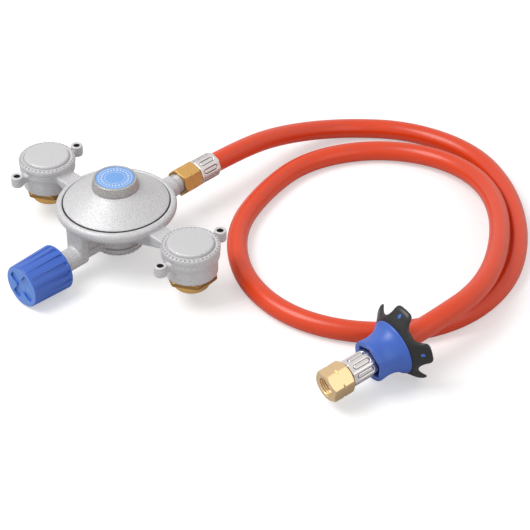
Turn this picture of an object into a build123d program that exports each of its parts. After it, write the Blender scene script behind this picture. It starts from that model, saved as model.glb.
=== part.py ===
from build123d import *
from math import cos, pi, radians, sin, tan
import os

# Gas-cartridge regulator with two cartridge pods, a shut-off knob, a rubber
# hose with crimped ends, and a hand wheel that slides onto the far nut.
# Millimetres. +Z is up. The floor is z = 0, where the knob's rim rests.
# X runs from the left pod to the right pod, Y from the knob to the outlet.
# The origin is the floor point under the middle of the regulator's box.

# ---------------------------------------------------------------- fits
wall = 2.2                    # die-cast wall
slip = 0.30                   # air between pieces that move past each other
seat_gap = 0.05               # gap of a screwed or pushed-in fit
running_gap = 0.06            # radial gap of a spindle or pin in its bore
overcut = 1.0                 # how far a cut runs past the face it opens

# ---------------------------------------------------------------- knob and valve
knob_radius = 15.0            # rear rim, which rests on the floor
knob_nose_radius = 13.9
knob_length = 29.0
knob_back = 51.0              # housing axis to the knob's rear rim
knob_wall = 2.0
knob_face_wall = 2.4
knob_round = 0.5
nose_round = 1.2
knob_hub_radius = 5.6
knob_grips = 16
grip_width = 2.8
grip_length = 25.2
grip_depth = 0.6              # halfway along the taper
grip_turn = -6.0              # degrees from level to the first grip
face_recess_radius = 8.5
face_recess_depth = 0.7
neck_radius = 7.0
neck_into_knob = 3.0
spindle_radius = 3.0
spindle_flat = 2.2            # spindle axis to the drive flat
spindle_pitch = 1.0           # rise of the spindle for one turn of the knob
spindle_turns = 1.5
gland_flats = 12.0
gland_height = 4.0
gland_thread_radius = 5.0
gland_thread_length = 5.0
ring_cord = 0.85              # half the thickness of the spindle's sealing ring
ring_seat_length = 2.4
valve_seat_y = 31.5           # housing axis to the valve seat
valve_chamber_radius = 3.8
valve_chamber_length = 8.0
seat_pad_radius = 2.8
seat_pad_thickness = 1.5
gas_bore = 1.2                # radius of the drilled gas passages

# ---------------------------------------------------------------- housing
rim_radius = 38.5
rim_height = 7.1
rim_round = 3.0
cover_radius = 34.4
cover_edge = 2.9
cover_rise = 10.6
rim_drop = 0.6                # rim's top below the cover's edge
chamber_radius = 28.0
chamber_depth = 8.8
valve_to_chamber = 13.0       # valve axis up to the chamber floor
bowl_slope = 2.5              # bevel round the bowl's foot
block_back = 30.5             # square block that hangs the neck from the rim
block_length = 6.2
link_half_width = 5.0         # bar from the valve to the cup
link_rise = 2.5               # bar's top above the valve's axis
web_half_width = 3.5          # web between the bar and the bowl
cup_radius = 15.6
cup_cavity_radius = 10.0
cup_cavity_height = 10.0
bottom_ring_radius = 16.6
bottom_ring_height = 4.0
bottom_above_floor = 8.0
bottom_teeth = 30
tooth_width = 1.4
tooth_depth = 0.6

# ---------------------------------------------------------------- setting spring
cap_radius = 15.0
cap_top_radius = 13.8
cap_height = 6.3
cap_roof = 1.6
bonnet_neck_radius = 13.0
bonnet_neck_height = 4.5
label_radius = 12.3
label_thickness = 0.8
screw_radius = 11.0
screw_height = 3.2
screw_drop = 0.4              # screw's underside below the bonnet's shoulder
screw_key = 6.0
spring_radius = 8.0
spring_wire = 1.4
spring_coils = 4
diaphragm_thickness = 1.0
plate_radius = 17.0
plate_thickness = 1.2
stem_radius = 2.6
stem_head_radius = 4.0
stem_head_height = 0.9
lift_travel = 1.3

# ---------------------------------------------------------------- lever
nozzle_inset = 4.0            # chamber wall to the nozzle's axis
lever_back = 8.0              # lever pin to the nozzle
lever_above_floor = 4.7       # chamber floor to the lever pin
lever_thickness = 1.4
lever_width = 5.0
lever_tip_width = 2.4
lever_ear = 1.8
ear_half_length = 2.6
pin_radius = 1.0
lever_hub_radius = 1.9
pad_radius = 2.5
pad_thickness = 1.3
nozzle_radius = 3.0
nozzle_tip_radius = 1.9
nozzle_shank = 3.0

# ---------------------------------------------------------------- pods
pod_x = 68.2
pod_radius = 16.8
pod_bottom = 20.8
pod_top = 41.4
ring_radius = 18.6
ring_height = 3.9
ring_notches = 40
notch_width = 1.3
notch_depth = 0.7
plate_rise = 1.5
pod_plate_radius = 14.4
plate_chamfer = 0.7
collar_radius = 18.2
collar_height = 4.4
collar_slope = 3.0
arm_half_width = 6.5
arm_top = 35.6
arm_bottom_at_pod = 31.0
arm_bottom_at_cup = 18.4
arm_cup_x = 14.0
lug_y = 25.4
lug_radius = 4.0
lug_hole_radius = 2.1
lug_top = 38.5
lug_height = 7.6
lug_arm_width = 4.6
lug_arm_height = 5.0
pod_cavity_radius = 9.0
passage_at_pod = 35.6
passage_at_cup = 19.2
check_radius = 5.5
check_thickness = 2.0
check_nose_radius = 2.4
check_nose_height = 1.2
check_wire = 0.8
check_spring_radius = 3.4
check_coils = 5

# ---------------------------------------------------------------- connector
connector_flats = 29.0
connector_hex_height = 4.6
connector_boss_radius = 11.5
connector_boss_height = 5.8
connector_spigot_height = 5.4
cartridge_thread_radius = 5.15
cartridge_thread_depth = 7.0
gasket_radius = 4.6
gasket_bore = 2.2
gasket_thickness = 2.0
opener_radius = 1.2
opener_flange_radius = 3.4
opener_flange_height = 1.6
connector_bore = 2.0

# ---------------------------------------------------------------- outlet
outlet_above_valve = 12.1
spigot_radius = 7.2
outlet_bore = 3.0
thread_radius = 6.5
thread_show = 4.2             # thread in view in front of the union nut
thread_pitch = 1.4
thread_rings = 5
thread_groove = 0.45
union_flats = 17.0
union_length = 15.0
union_turn = 14.4             # degrees that the union nut is turned about its axis
union_front = 52.5            # housing axis to the union nut's front face
end_flats = 18.0
end_nut_length = 15.0
end_thread_bore = 5.9
nut_back_wall = 2.6
nut_relief = 0.5              # groove behind a nut's thread
nut_notch = 1.0
nut_edge = 0.9                # how far the turned chamfer runs down a corner

# ---------------------------------------------------------------- hose and ends
hose_diameter = 13.3
hose_bore = 6.3
ferrule_radius = 7.9          # to the pressed facets
ferrule_length = 17.0
ferrule_facets = 8
ferrule_corner = 2.0
ferrule_step = 0.6            # nut's rear face to the ferrule
ferrule_lip = 1.4
slot_length = 11.0
slot_width = 3.0
slot_depth = 0.35
tail_neck_radius = 3.9
tail_head_radius = 5.6
tail_nose_radius = 3.6
tail_head_length = 3.2
tail_bore = 2.0
barb_length = 13.0

# ---------------------------------------------------------------- hand wheel
wheel_setback = 16.5          # nut's rear face to the sleeve's mouth
sleeve_length = 18.6          # mouth to the flange's rear face
sleeve_mouth_radius = 13.2
sleeve_waist_radius = 12.6
sleeve_waist = 8.0            # mouth to the waist
sleeve_flange_radius = 17.2
sleeve_hub_radius = 12.0
flange_edge = 1.2
socket_depth = 14.5
wheel_bore = 8.8
star_arms = 5
star_tip_radius = 25.3
star_lean = 0.95              # how far an arm goes back for each step outward
star_wall = 2.9               # along the axis
star_hub_radius = 15.0
star_hub_depth = 7.0
valley_radius = 11.3
valley_centre = 30.6
arm_round = 1.6
peg_radius = 1.1
peg_circle = 22.4
peg_head = 0.1                # how far a peg stands out of the arm
arm_turn = 21.5               # degrees that the first arm stands above level
nut_turn = 42.0               # degrees that the far nut is turned about its axis

# ---------------------------------------------------------------- derived places
valve_z = knob_radius
floor_z = valve_z + valve_to_chamber
ledge_z = floor_z + chamber_depth
cover_z = ledge_z + diaphragm_thickness
cover_top = cover_z + cover_edge
rim_top = cover_top - rim_drop
rim_bottom = rim_top - rim_height
bowl_bottom = floor_z - wall
cap_z = cover_top + cover_rise
cap_top = cap_z + cap_height
outlet_z = valve_z + outlet_above_valve
union_back = union_front + union_length
union_seat = union_back - nut_back_wall
spigot_reach = union_seat - tail_head_length - 2 * seat_gap
outlet_ferrule_y = union_back + ferrule_step
outlet_reach = outlet_ferrule_y + ferrule_length
knob_front = knob_back + knob_length
axis_y = (knob_front - outlet_reach) / 2

pod_sides = {"left": -1, "right": 1}
pod_cover_z = pod_top - ring_height
connector_top = pod_bottom + connector_spigot_height
connector_hex_z = pod_bottom - connector_hex_height
connector_bottom = connector_hex_z - connector_boss_height

half_hose = hose_diameter / 2
lever_z = floor_z + lever_above_floor
nozzle_y = nozzle_inset - chamber_radius
lever_reach = -nozzle_y - lever_back    # lever pin to the stem
lever_tilt = lift_travel / lever_reach
nozzle_top = lever_z - lever_thickness / 2 - pad_thickness - lever_tilt * lever_back - 2 * seat_gap
stem_slot = lever_thickness + 4 * slip

os.makedirs("parts", exist_ok=True)


# ---------------------------------------------------------------- planes and helpers
def level(z, x=0.0, y=0.0):
    """A horizontal plane at height z, placed from the housing's axis."""
    return Plane((x, axis_y + y, z))


def along_y(y, z, x=0.0):
    """An upright plane whose normal points to the outlet."""
    return Plane((x, axis_y + y, z), x_dir=(1, 0, 0), z_dir=(0, 1, 0))


def standing(x=0.0, y=0.0):
    """Half-section plane of an upright axis: local x is the radius, local y is z."""
    return Plane((x, axis_y + y, 0), x_dir=(1, 0, 0), z_dir=(0, -1, 0))


def lying(z):
    """Half-section plane of an axis along Y: local x is y, local y is the radius."""
    return Plane((0, axis_y, z), x_dir=(0, 1, 0), z_dir=(1, 0, 0))


def across_lever(x):
    """An upright plane across the lever, centred on its pin, normal to +X."""
    return Plane((x, axis_y - lever_reach, lever_z), x_dir=(0, 1, 0), z_dir=(1, 0, 0))


def upright_axis(x=0.0, y=0.0):
    return Axis((x, axis_y + y, 0), (0, 0, 1))


def lying_axis(z):
    return Axis((0, axis_y, z), (0, 1, 0))


def turn_profile(points, plane, axis, mode=Mode.ADD):
    """Turn a closed half-section, as on a lathe."""
    with BuildSketch(plane) as section:
        with BuildLine():
            Polyline(points, close=True)
        make_face()
    revolve(section.sketch, axis=axis, mode=mode)


def round_bar(plane, radius, length, mode=Mode.ADD):
    """A bar or a drilled hole from a plane along its normal."""
    with BuildSketch(plane) as disc:
        Circle(radius)
    extrude(disc.sketch, amount=length, mode=mode)


def hex_bar(plane, flats, length, turn=0.0, mode=Mode.ADD):
    with BuildSketch(plane) as hexagon:
        RegularPolygon(flats / 2, 6, major_radius=False, rotation=turn)
    extrude(hexagon.sketch, amount=length, mode=mode)


def save(piece, name):
    piece.part.label = name
    export_step(piece.part, "parts/" + name + ".step")
    print(name, "solids", len(piece.part.solids()), "volume", round(piece.part.volume, 1))


# ---------------------------------------------------------------- manifold casting
def pod_shell(x):
    """One pod's casting: cylinder, collar and two screw lugs."""
    round_bar(level(pod_bottom, x), pod_radius, pod_cover_z - pod_bottom)
    collar_z = pod_cover_z - collar_height
    turn_profile(
        [(0, collar_z - collar_slope), (pod_radius, collar_z - collar_slope), (collar_radius, collar_z),
         (collar_radius, pod_cover_z), (0, pod_cover_z)],
        standing(x), upright_axis(x))
    arm_z = lug_top - lug_height
    with BuildSketch(level(arm_z, x)) as lug_arm:
        Rectangle(lug_arm_width, 2 * lug_y)
    extrude(lug_arm.sketch, amount=lug_arm_height)
    for side in (-1, 1):
        round_bar(level(arm_z, x, side * lug_y), lug_radius, lug_height)


def pod_bores(x):
    """The pod's hollow, the connector's bore and the lug holes."""
    round_bar(level(pod_bottom, x), pod_cavity_radius, pod_cover_z - pod_bottom, Mode.SUBTRACT)
    for side in (-1, 1):
        round_bar(level(lug_top - lug_height, x, side * lug_y), lug_hole_radius, lug_height, Mode.SUBTRACT)


def gas_arm(side):
    """The flat-topped arm from the cup to a pod, with its sloping gusset."""
    with BuildSketch(standing()) as gusset:
        with BuildLine():
            Polyline(
                [(0, arm_top), (side * pod_x, arm_top), (side * pod_x, arm_bottom_at_pod),
                 (side * (pod_x - pod_radius), arm_bottom_at_pod), (side * arm_cup_x, arm_bottom_at_cup),
                 (0, arm_bottom_at_cup)], close=True)
        make_face()
    extrude(gusset.sketch, amount=arm_half_width, both=True)


def gas_passage(side):
    """The drilled passage that falls from a pod's hollow to the cup."""
    start = Vector(side * (pod_x - pod_cavity_radius + overcut), axis_y, passage_at_pod)
    finish = Vector(side * (cup_cavity_radius - overcut), axis_y, passage_at_cup)
    run = finish - start
    round_bar(Plane(start, z_dir=run), gas_bore, run.length, Mode.SUBTRACT)


with BuildPart() as manifold_body:
    # bowl with its rolled rim
    with BuildSketch(standing()) as bowl_section:
        with BuildLine():
            Polyline(
                [(0, bowl_bottom), (chamber_radius, bowl_bottom),
                 (chamber_radius + bowl_slope, bowl_bottom + bowl_slope),
                 (rim_radius - rim_round, rim_bottom), (rim_radius, rim_bottom), (rim_radius, rim_top),
                 (0, rim_top)], close=True)
        make_face()
        outer_corners = bowl_section.vertices().sort_by(Axis.X)[-2:]
        fillet(outer_corners, rim_round)
    revolve(axis=upright_axis())
    # cup under the bowl
    cup_top = bottom_above_floor + bottom_ring_height
    round_bar(level(cup_top), cup_radius, floor_z - cup_top)
    # valve neck, with the block that hangs it from the rim
    neck_end = -(knob_back + neck_into_knob)
    round_bar(along_y(neck_end, valve_z), neck_radius, -block_back - neck_end)
    with BuildSketch(level(valve_z, 0, -block_back - block_length / 2)):
        Rectangle(2 * neck_radius, block_length)
    extrude(amount=rim_bottom + rim_round - valve_z)
    # bar from the neck to the cup, and the web that closes it to the bowl
    with BuildSketch(level(cup_top + slip, 0, -block_back / 2)):
        Rectangle(2 * link_half_width, block_back)
    extrude(amount=valve_z + link_rise - cup_top - slip)
    with BuildSketch(level(valve_z, 0, -block_back / 2)):
        Rectangle(2 * web_half_width, block_back)
    extrude(amount=floor_z - valve_z)
    # arms, pods and the outlet spigot
    for side in (-1, 1):
        gas_arm(side)
        pod_shell(side * pod_x)
    round_bar(along_y(chamber_radius, outlet_z), spigot_radius, union_front - thread_show - chamber_radius)
    round_bar(along_y(chamber_radius, outlet_z), thread_radius, spigot_reach - chamber_radius)
    for ring in range(thread_rings):
        groove_y = union_front - thread_show + (ring + 0.5) * thread_pitch
        turn_profile(
            [(groove_y - thread_pitch / 2, thread_radius + 2 * seat_gap),
             (groove_y, thread_radius - thread_groove),
             (groove_y + thread_pitch / 2, thread_radius + 2 * seat_gap)],
            lying(outlet_z), lying_axis(outlet_z), Mode.SUBTRACT)
    # hollows: diaphragm chamber, cover seat, cup, pods
    round_bar(level(floor_z), chamber_radius, chamber_depth, Mode.SUBTRACT)
    round_bar(level(ledge_z), cover_radius + seat_gap, rim_top - ledge_z + overcut, Mode.SUBTRACT)
    round_bar(level(cup_top), cup_cavity_radius, cup_cavity_height, Mode.SUBTRACT)
    for side in (-1, 1):
        pod_bores(side * pod_x)
        gas_passage(side)
    # valve bore, from the knob's end inwards, and the passages to and from it
    round_bar(along_y(neck_end, valve_z), gland_thread_radius + seat_gap,
              gland_thread_length + ring_seat_length, Mode.SUBTRACT)
    round_bar(along_y(neck_end, valve_z), spindle_radius + running_gap,
              -valve_seat_y - neck_end - overcut, Mode.SUBTRACT)
    round_bar(along_y(-valve_seat_y - valve_chamber_length, valve_z), valve_chamber_radius,
              valve_chamber_length, Mode.SUBTRACT)
    round_bar(along_y(-valve_seat_y, valve_z), gas_bore,
              valve_seat_y - cup_cavity_radius + overcut, Mode.SUBTRACT)
    elbow = Vector(0, axis_y + nozzle_y, floor_z - nozzle_shank - 2 * gas_bore)
    rise = elbow - Vector(0, axis_y - valve_seat_y - 2 * gas_bore, valve_z)
    round_bar(Plane(elbow, z_dir=-rise), gas_bore, rise.length, Mode.SUBTRACT)
    round_bar(Plane(elbow), gas_bore, 2 * gas_bore, Mode.SUBTRACT)
    round_bar(level(floor_z - nozzle_shank, 0, nozzle_y), nozzle_tip_radius + seat_gap,
              nozzle_shank, Mode.SUBTRACT)
    round_bar(along_y(chamber_radius - overcut, outlet_z), outlet_bore,
              spigot_reach - chamber_radius + 2 * overcut, Mode.SUBTRACT)
    # ears for the lever pin
    for side in (-1, 1):
        ear_x = side * (lever_width / 2 + slip + lever_ear / 2)
        with BuildSketch(level(floor_z, ear_x, -lever_reach)):
            Rectangle(lever_ear, 2 * ear_half_length)
        extrude(amount=lever_above_floor + 2 * pin_radius)
    round_bar(across_lever(-lever_width), pin_radius + seat_gap, 2 * lever_width, Mode.SUBTRACT)
save(manifold_body, "manifold_body")

# ---------------------------------------------------------------- crimped closures
with BuildPart() as bottom_cover:
    round_bar(level(bottom_above_floor), bottom_ring_radius, bottom_ring_height)
    round_bar(level(bottom_above_floor), cup_cavity_radius, wall / 2, Mode.SUBTRACT)
    with BuildSketch(level(bottom_above_floor)):
        with PolarLocations(bottom_ring_radius, bottom_teeth):
            Rectangle(2 * tooth_depth, tooth_width)
    extrude(amount=bottom_ring_height / 2, mode=Mode.SUBTRACT)
save(bottom_cover, "bottom_cover")

for side_name, side in pod_sides.items():
    pod_axis = side * pod_x
    with BuildPart() as pod_cover:
        round_bar(level(pod_cover_z, pod_axis), ring_radius, ring_height)
        with BuildSketch(level(pod_top, pod_axis)):
            with PolarLocations(ring_radius, ring_notches):
                Rectangle(2 * notch_depth, notch_width)
        extrude(amount=-ring_height / 2, mode=Mode.SUBTRACT)
        round_bar(level(pod_top, pod_axis), pod_plate_radius, plate_rise)
        chamfer(pod_cover.edges().group_by(Axis.Z)[-1], plate_chamfer)
    save(pod_cover, side_name + "_pod_cover")

# ---------------------------------------------------------------- bonnet and cap
screw_z = cap_z - screw_drop
plate_z = ledge_z + diaphragm_thickness
plate_top = plate_z + plate_thickness

with BuildPart() as bonnet_cover:
    turn_profile(
        [(chamber_radius, cover_z), (cover_radius, cover_z), (cover_radius, cover_top - rim_drop),
         (cover_radius - rim_drop, cover_top), (cap_radius + 1.0, cap_z - 0.6), (cap_radius + 0.4, cap_z),
         (bonnet_neck_radius, cap_z), (bonnet_neck_radius, cap_z + bonnet_neck_height),
         (screw_radius + seat_gap, cap_z + bonnet_neck_height), (screw_radius + seat_gap, cap_z - wall),
         (cap_radius, cap_z - wall), (chamber_radius, cover_z + wall / 2)],
        standing(), upright_axis())
save(bonnet_cover, "bonnet_cover")

cap_seat_z = cap_z + bonnet_neck_height + seat_gap
cap_bore = bonnet_neck_radius + seat_gap

with BuildPart() as adjuster_cap:
    turn_profile(
        [(0, cap_seat_z), (cap_bore, cap_seat_z),
         (cap_bore, cap_z), (cap_radius, cap_z), (cap_radius, cap_z + 1.0),
         (cap_top_radius, cap_top - 0.5), (cap_top_radius - 0.5, cap_top), (label_radius + seat_gap, cap_top),
         (label_radius + seat_gap, cap_top - label_thickness), (0, cap_top - label_thickness)],
        standing(), upright_axis())
save(adjuster_cap, "adjuster_cap")

with BuildPart() as label_disc:
    round_bar(level(cap_top - label_thickness), label_radius, label_thickness - 2 * seat_gap)
save(label_disc, "label_disc")

with BuildPart() as adjusting_screw:
    round_bar(level(screw_z), screw_radius, screw_height)
    hex_bar(level(screw_z), screw_key, screw_height, mode=Mode.SUBTRACT)
save(adjusting_screw, "adjusting_screw")


def coil_spring(x, bottom, top, radius, wire, coils):
    """A round-wire spring that just touches the faces at its two ends."""
    rise = top - bottom - wire - 2 * seat_gap
    with BuildLine(level(bottom + wire / 2 + seat_gap, x)) as coil:
        Helix(rise / coils, rise, radius)
    with BuildSketch(Plane(coil.line @ 0, z_dir=coil.line % 0)) as section:
        Circle(wire / 2)
    sweep(section.sketch, path=coil.line)


with BuildPart() as main_spring:
    coil_spring(0, plate_top, screw_z, spring_radius, spring_wire, spring_coils)
save(main_spring, "main_spring")

with BuildPart() as diaphragm:
    round_bar(level(ledge_z), cover_radius - seat_gap, diaphragm_thickness)
    round_bar(level(ledge_z), stem_radius + seat_gap, diaphragm_thickness, Mode.SUBTRACT)
save(diaphragm, "diaphragm")

with BuildPart() as diaphragm_plate:
    round_bar(level(plate_z), plate_radius, plate_thickness)
    round_bar(level(plate_z), stem_radius + seat_gap, plate_thickness, Mode.SUBTRACT)
save(diaphragm_plate, "diaphragm_plate")

with BuildPart() as diaphragm_stem:
    stem_bottom = lever_z - stem_slot / 2 - stem_head_height
    turn_profile(
        [(0, stem_bottom), (stem_radius, stem_bottom), (stem_radius, ledge_z - stem_head_height),
         (stem_head_radius, ledge_z - stem_head_height), (stem_head_radius, ledge_z),
         (stem_radius, ledge_z), (stem_radius, plate_top), (stem_head_radius, plate_top),
         (stem_head_radius, plate_top + stem_head_height), (0, plate_top + stem_head_height)],
        standing(), upright_axis())
    with BuildSketch(level(lever_z - stem_slot / 2)):
        Rectangle(lever_tip_width + 2 * slip, 2 * stem_head_radius)
    extrude(amount=stem_slot, mode=Mode.SUBTRACT)
save(diaphragm_stem, "diaphragm_stem")

# ---------------------------------------------------------------- lever, pin, pad, nozzle
with BuildPart() as lever:
    lever_bottom = lever_z - lever_thickness / 2
    back_end = nozzle_y - pad_radius
    with BuildSketch(level(lever_bottom, 0, (back_end - lever_reach + ear_half_length) / 2)):
        Rectangle(lever_width, -lever_reach + ear_half_length - back_end)
    extrude(amount=lever_thickness)
    with BuildSketch(level(lever_bottom, 0, (stem_radius - lever_reach) / 2)):
        Rectangle(lever_tip_width, lever_reach + stem_radius)
    extrude(amount=lever_thickness)
    round_bar(across_lever(-lever_width / 2), lever_hub_radius, lever_width)
    round_bar(across_lever(-lever_width / 2), pin_radius + running_gap, lever_width, Mode.SUBTRACT)
save(lever, "lever")

with BuildPart() as lever_pin:
    pin_half = lever_width / 2 + slip + lever_ear
    round_bar(across_lever(-pin_half), pin_radius, 2 * pin_half)
save(lever_pin, "lever_pin")

with BuildPart() as lever_pad:
    round_bar(level(lever_z - lever_thickness / 2 - pad_thickness, 0, nozzle_y), pad_radius, pad_thickness)
save(lever_pad, "lever_pad")

with BuildPart() as inlet_nozzle:
    nozzle_shank_z = floor_z - nozzle_shank
    turn_profile(
        [(gas_bore / 2, nozzle_shank_z), (nozzle_tip_radius, nozzle_shank_z), (nozzle_tip_radius, floor_z),
         (nozzle_radius, floor_z), (nozzle_radius, floor_z + 0.8), (nozzle_tip_radius, floor_z + 0.8),
         (gas_bore, nozzle_top), (gas_bore / 2, nozzle_top)],
        standing(0, nozzle_y), upright_axis(0, nozzle_y))
save(inlet_nozzle, "inlet_nozzle")

# ---------------------------------------------------------------- knob, spindle, gland
spindle_travel = spindle_pitch * spindle_turns
socket_end = knob_front - knob_face_wall
spindle_end = socket_end - spindle_travel - slip
hub_start = knob_back + neck_into_knob + gland_height + slip
flat_start = hub_start - spindle_travel - slip


def drive_section(radius, flat):
    """The spindle's round bar with one drive flat on its upper side."""
    Circle(radius)
    with Locations((0, -(flat + radius))):
        Rectangle(4 * radius, 2 * radius, mode=Mode.SUBTRACT)


with BuildPart() as valve_knob:
    turn_profile(
        [(-knob_back, 0), (-knob_back, knob_radius - knob_round), (-knob_back - knob_round, knob_radius),
         (nose_round - knob_front, knob_nose_radius), (-knob_front, knob_nose_radius - nose_round),
         (-knob_front, 0)],
        lying(valve_z), lying_axis(valve_z))
    turn_profile(
        [(-knob_back, 0), (-knob_back, knob_radius - knob_wall),
         (-socket_end, knob_nose_radius - knob_wall), (-socket_end, 0)],
        lying(valve_z), lying_axis(valve_z), Mode.SUBTRACT)
    round_bar(along_y(-socket_end, valve_z), knob_hub_radius, socket_end - hub_start)
    with BuildSketch(along_y(-socket_end, valve_z)):
        drive_section(spindle_radius + running_gap, spindle_flat + running_gap)
    extrude(amount=socket_end - hub_start, mode=Mode.SUBTRACT)
    # grip slots sunk along the taper, and a shallow disc in the face
    grip_y = axis_y - (knob_back + knob_front) / 2
    grip_seat = (knob_radius + knob_nose_radius) / 2 - grip_depth
    for grip in range(knob_grips):
        turn = 2 * pi * grip / knob_grips + radians(grip_turn)
        outward = Vector(cos(turn), 0, sin(turn))
        seat = Vector(0, grip_y, valve_z) + outward * grip_seat
        with BuildSketch(Plane(seat, x_dir=(0, 1, 0), z_dir=outward)):
            SlotOverall(grip_length, grip_width)
        extrude(amount=3 * grip_depth, mode=Mode.SUBTRACT)
    round_bar(along_y(-knob_front, valve_z), face_recess_radius, face_recess_depth, Mode.SUBTRACT)
save(valve_knob, "valve_knob")

with BuildPart() as valve_spindle:
    pad_front = valve_seat_y + seat_gap + seat_pad_thickness
    round_bar(along_y(-flat_start, valve_z), spindle_radius, flat_start - pad_front)
    with BuildSketch(along_y(-spindle_end, valve_z)):
        drive_section(spindle_radius, spindle_flat)
    extrude(amount=spindle_end - flat_start)
save(valve_spindle, "valve_spindle")

with BuildPart() as spindle_pad:
    round_bar(along_y(-pad_front, valve_z), seat_pad_radius, seat_pad_thickness)
save(spindle_pad, "spindle_pad")

with BuildPart() as gland_nut:
    gland_y = -(knob_back + neck_into_knob)
    hex_bar(along_y(gland_y - gland_height, valve_z), gland_flats, gland_height)
    round_bar(along_y(gland_y, valve_z), gland_thread_radius, gland_thread_length)
    round_bar(along_y(gland_y - gland_height, valve_z), spindle_radius + running_gap,
              gland_height + gland_thread_length, Mode.SUBTRACT)
save(gland_nut, "gland_nut")

with BuildPart() as spindle_ring:
    ring_y = gland_y + gland_thread_length + ring_cord + seat_gap
    with BuildSketch(lying(valve_z)) as cord_section:
        with Locations((ring_y, spindle_radius + running_gap + ring_cord)):
            Circle(ring_cord)
    revolve(axis=lying_axis(valve_z))
save(spindle_ring, "spindle_ring")

# ---------------------------------------------------------------- pod internals and connectors
gasket_z = connector_bottom + cartridge_thread_depth
opener_flange_z = gasket_z + gasket_thickness
check_top = connector_top + check_thickness

for side_name, side in pod_sides.items():
    pod_axis = side * pod_x
    pod_line = upright_axis(pod_axis)

    with BuildPart() as connector:
        round_bar(level(connector_bottom, pod_axis), connector_boss_radius, connector_boss_height)
        chamfer(connector.edges().group_by(Axis.Z)[0], 1.0)
        hex_bar(level(connector_hex_z, pod_axis), connector_flats, connector_hex_height, turn=30.0)
        round_bar(level(pod_bottom, pod_axis), pod_cavity_radius - seat_gap, connector_spigot_height)
        round_bar(level(connector_bottom, pod_axis), cartridge_thread_radius,
                  cartridge_thread_depth, Mode.SUBTRACT)
        round_bar(level(gasket_z, pod_axis), gasket_radius + seat_gap,
                  gasket_thickness + opener_flange_height + seat_gap, Mode.SUBTRACT)
        round_bar(level(gasket_z, pod_axis), connector_bore, connector_top - gasket_z, Mode.SUBTRACT)
    save(connector, side_name + "_connector")

    with BuildPart() as gasket:
        round_bar(level(gasket_z, pod_axis), gasket_radius, gasket_thickness)
        round_bar(level(gasket_z, pod_axis), gasket_bore, gasket_thickness, Mode.SUBTRACT)
    save(gasket, side_name + "_gasket")

    with BuildPart() as opener_pin:
        round_bar(level(opener_flange_z, pod_axis), opener_flange_radius, opener_flange_height)
        round_bar(level(opener_flange_z, pod_axis), opener_radius, -gasket_thickness / 2)
        with BuildSketch(level(opener_flange_z, pod_axis)):
            with PolarLocations((opener_radius + opener_flange_radius) / 2, 3):
                Circle(0.6)
        extrude(amount=opener_flange_height, mode=Mode.SUBTRACT)
    save(opener_pin, side_name + "_opener_pin")

    with BuildPart() as check_disc:
        round_bar(level(connector_top + seat_gap, pod_axis), check_radius, check_thickness)
        round_bar(level(check_top + seat_gap, pod_axis), check_nose_radius, check_nose_height)
    save(check_disc, side_name + "_check_disc")

    with BuildPart() as check_spring:
        coil_spring(pod_axis, check_top + seat_gap, pod_cover_z, check_spring_radius, check_wire, check_coils)
    save(check_spring, side_name + "_check_spring")


# ---------------------------------------------------------------- nuts, tails, ferrules
def nut_body(plane, flats, length, bore, turn=0.0):
    """A hexagon nut along the plane's normal from its open face: thread, head seat
    and rear hole, turned chamfers at both ends, a notch across each corner."""
    corner = flats / 2 / cos(radians(30))
    hex_bar(plane, flats, length, turn)
    half = Plane(plane.origin, x_dir=plane.x_dir, z_dir=-plane.y_dir)
    line = Axis(plane.origin, plane.z_dir)
    low, high = flats / 2, corner + 0.5
    fall = nut_edge * (high - low) / (corner - low)
    for start, sign in ((0, 1), (length, -1)):
        turn_profile([(low, start), (high, start), (high, start + sign * fall)], half, line, Mode.SUBTRACT)
    middle = length / 2
    notch_floor = low + (corner - low) * 0.35
    turn_profile(
        [(notch_floor, middle), (high, middle - nut_notch), (high, middle + nut_notch)],
        half, line, Mode.SUBTRACT)
    thread_end = length - nut_back_wall - tail_head_length - seat_gap
    round_bar(plane, bore, thread_end, Mode.SUBTRACT)
    round_bar(plane.offset(thread_end), bore + nut_relief, length - nut_back_wall - thread_end, Mode.SUBTRACT)
    round_bar(plane, tail_neck_radius + running_gap, length, Mode.SUBTRACT)


def tail_body(plane):
    """A hose tail from its nose along the plane's normal: head, neck, barbed stem."""
    neck_end = tail_head_length + seat_gap + nut_back_wall + ferrule_step + ferrule_lip
    half = Plane(plane.origin, x_dir=plane.x_dir, z_dir=-plane.y_dir)
    line = Axis(plane.origin, plane.z_dir)
    stem = hose_bore / 2 - seat_gap
    turn_profile(
        [(tail_bore, 0), (tail_nose_radius, 0), (tail_head_radius, tail_head_length * 0.6),
         (tail_head_radius, tail_head_length), (tail_neck_radius, tail_head_length),
         (tail_neck_radius, neck_end - seat_gap), (stem, neck_end - seat_gap),
         (stem, neck_end + barb_length - 1),
         (stem - 0.4, neck_end + barb_length), (tail_bore, neck_end + barb_length)], half, line)


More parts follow.
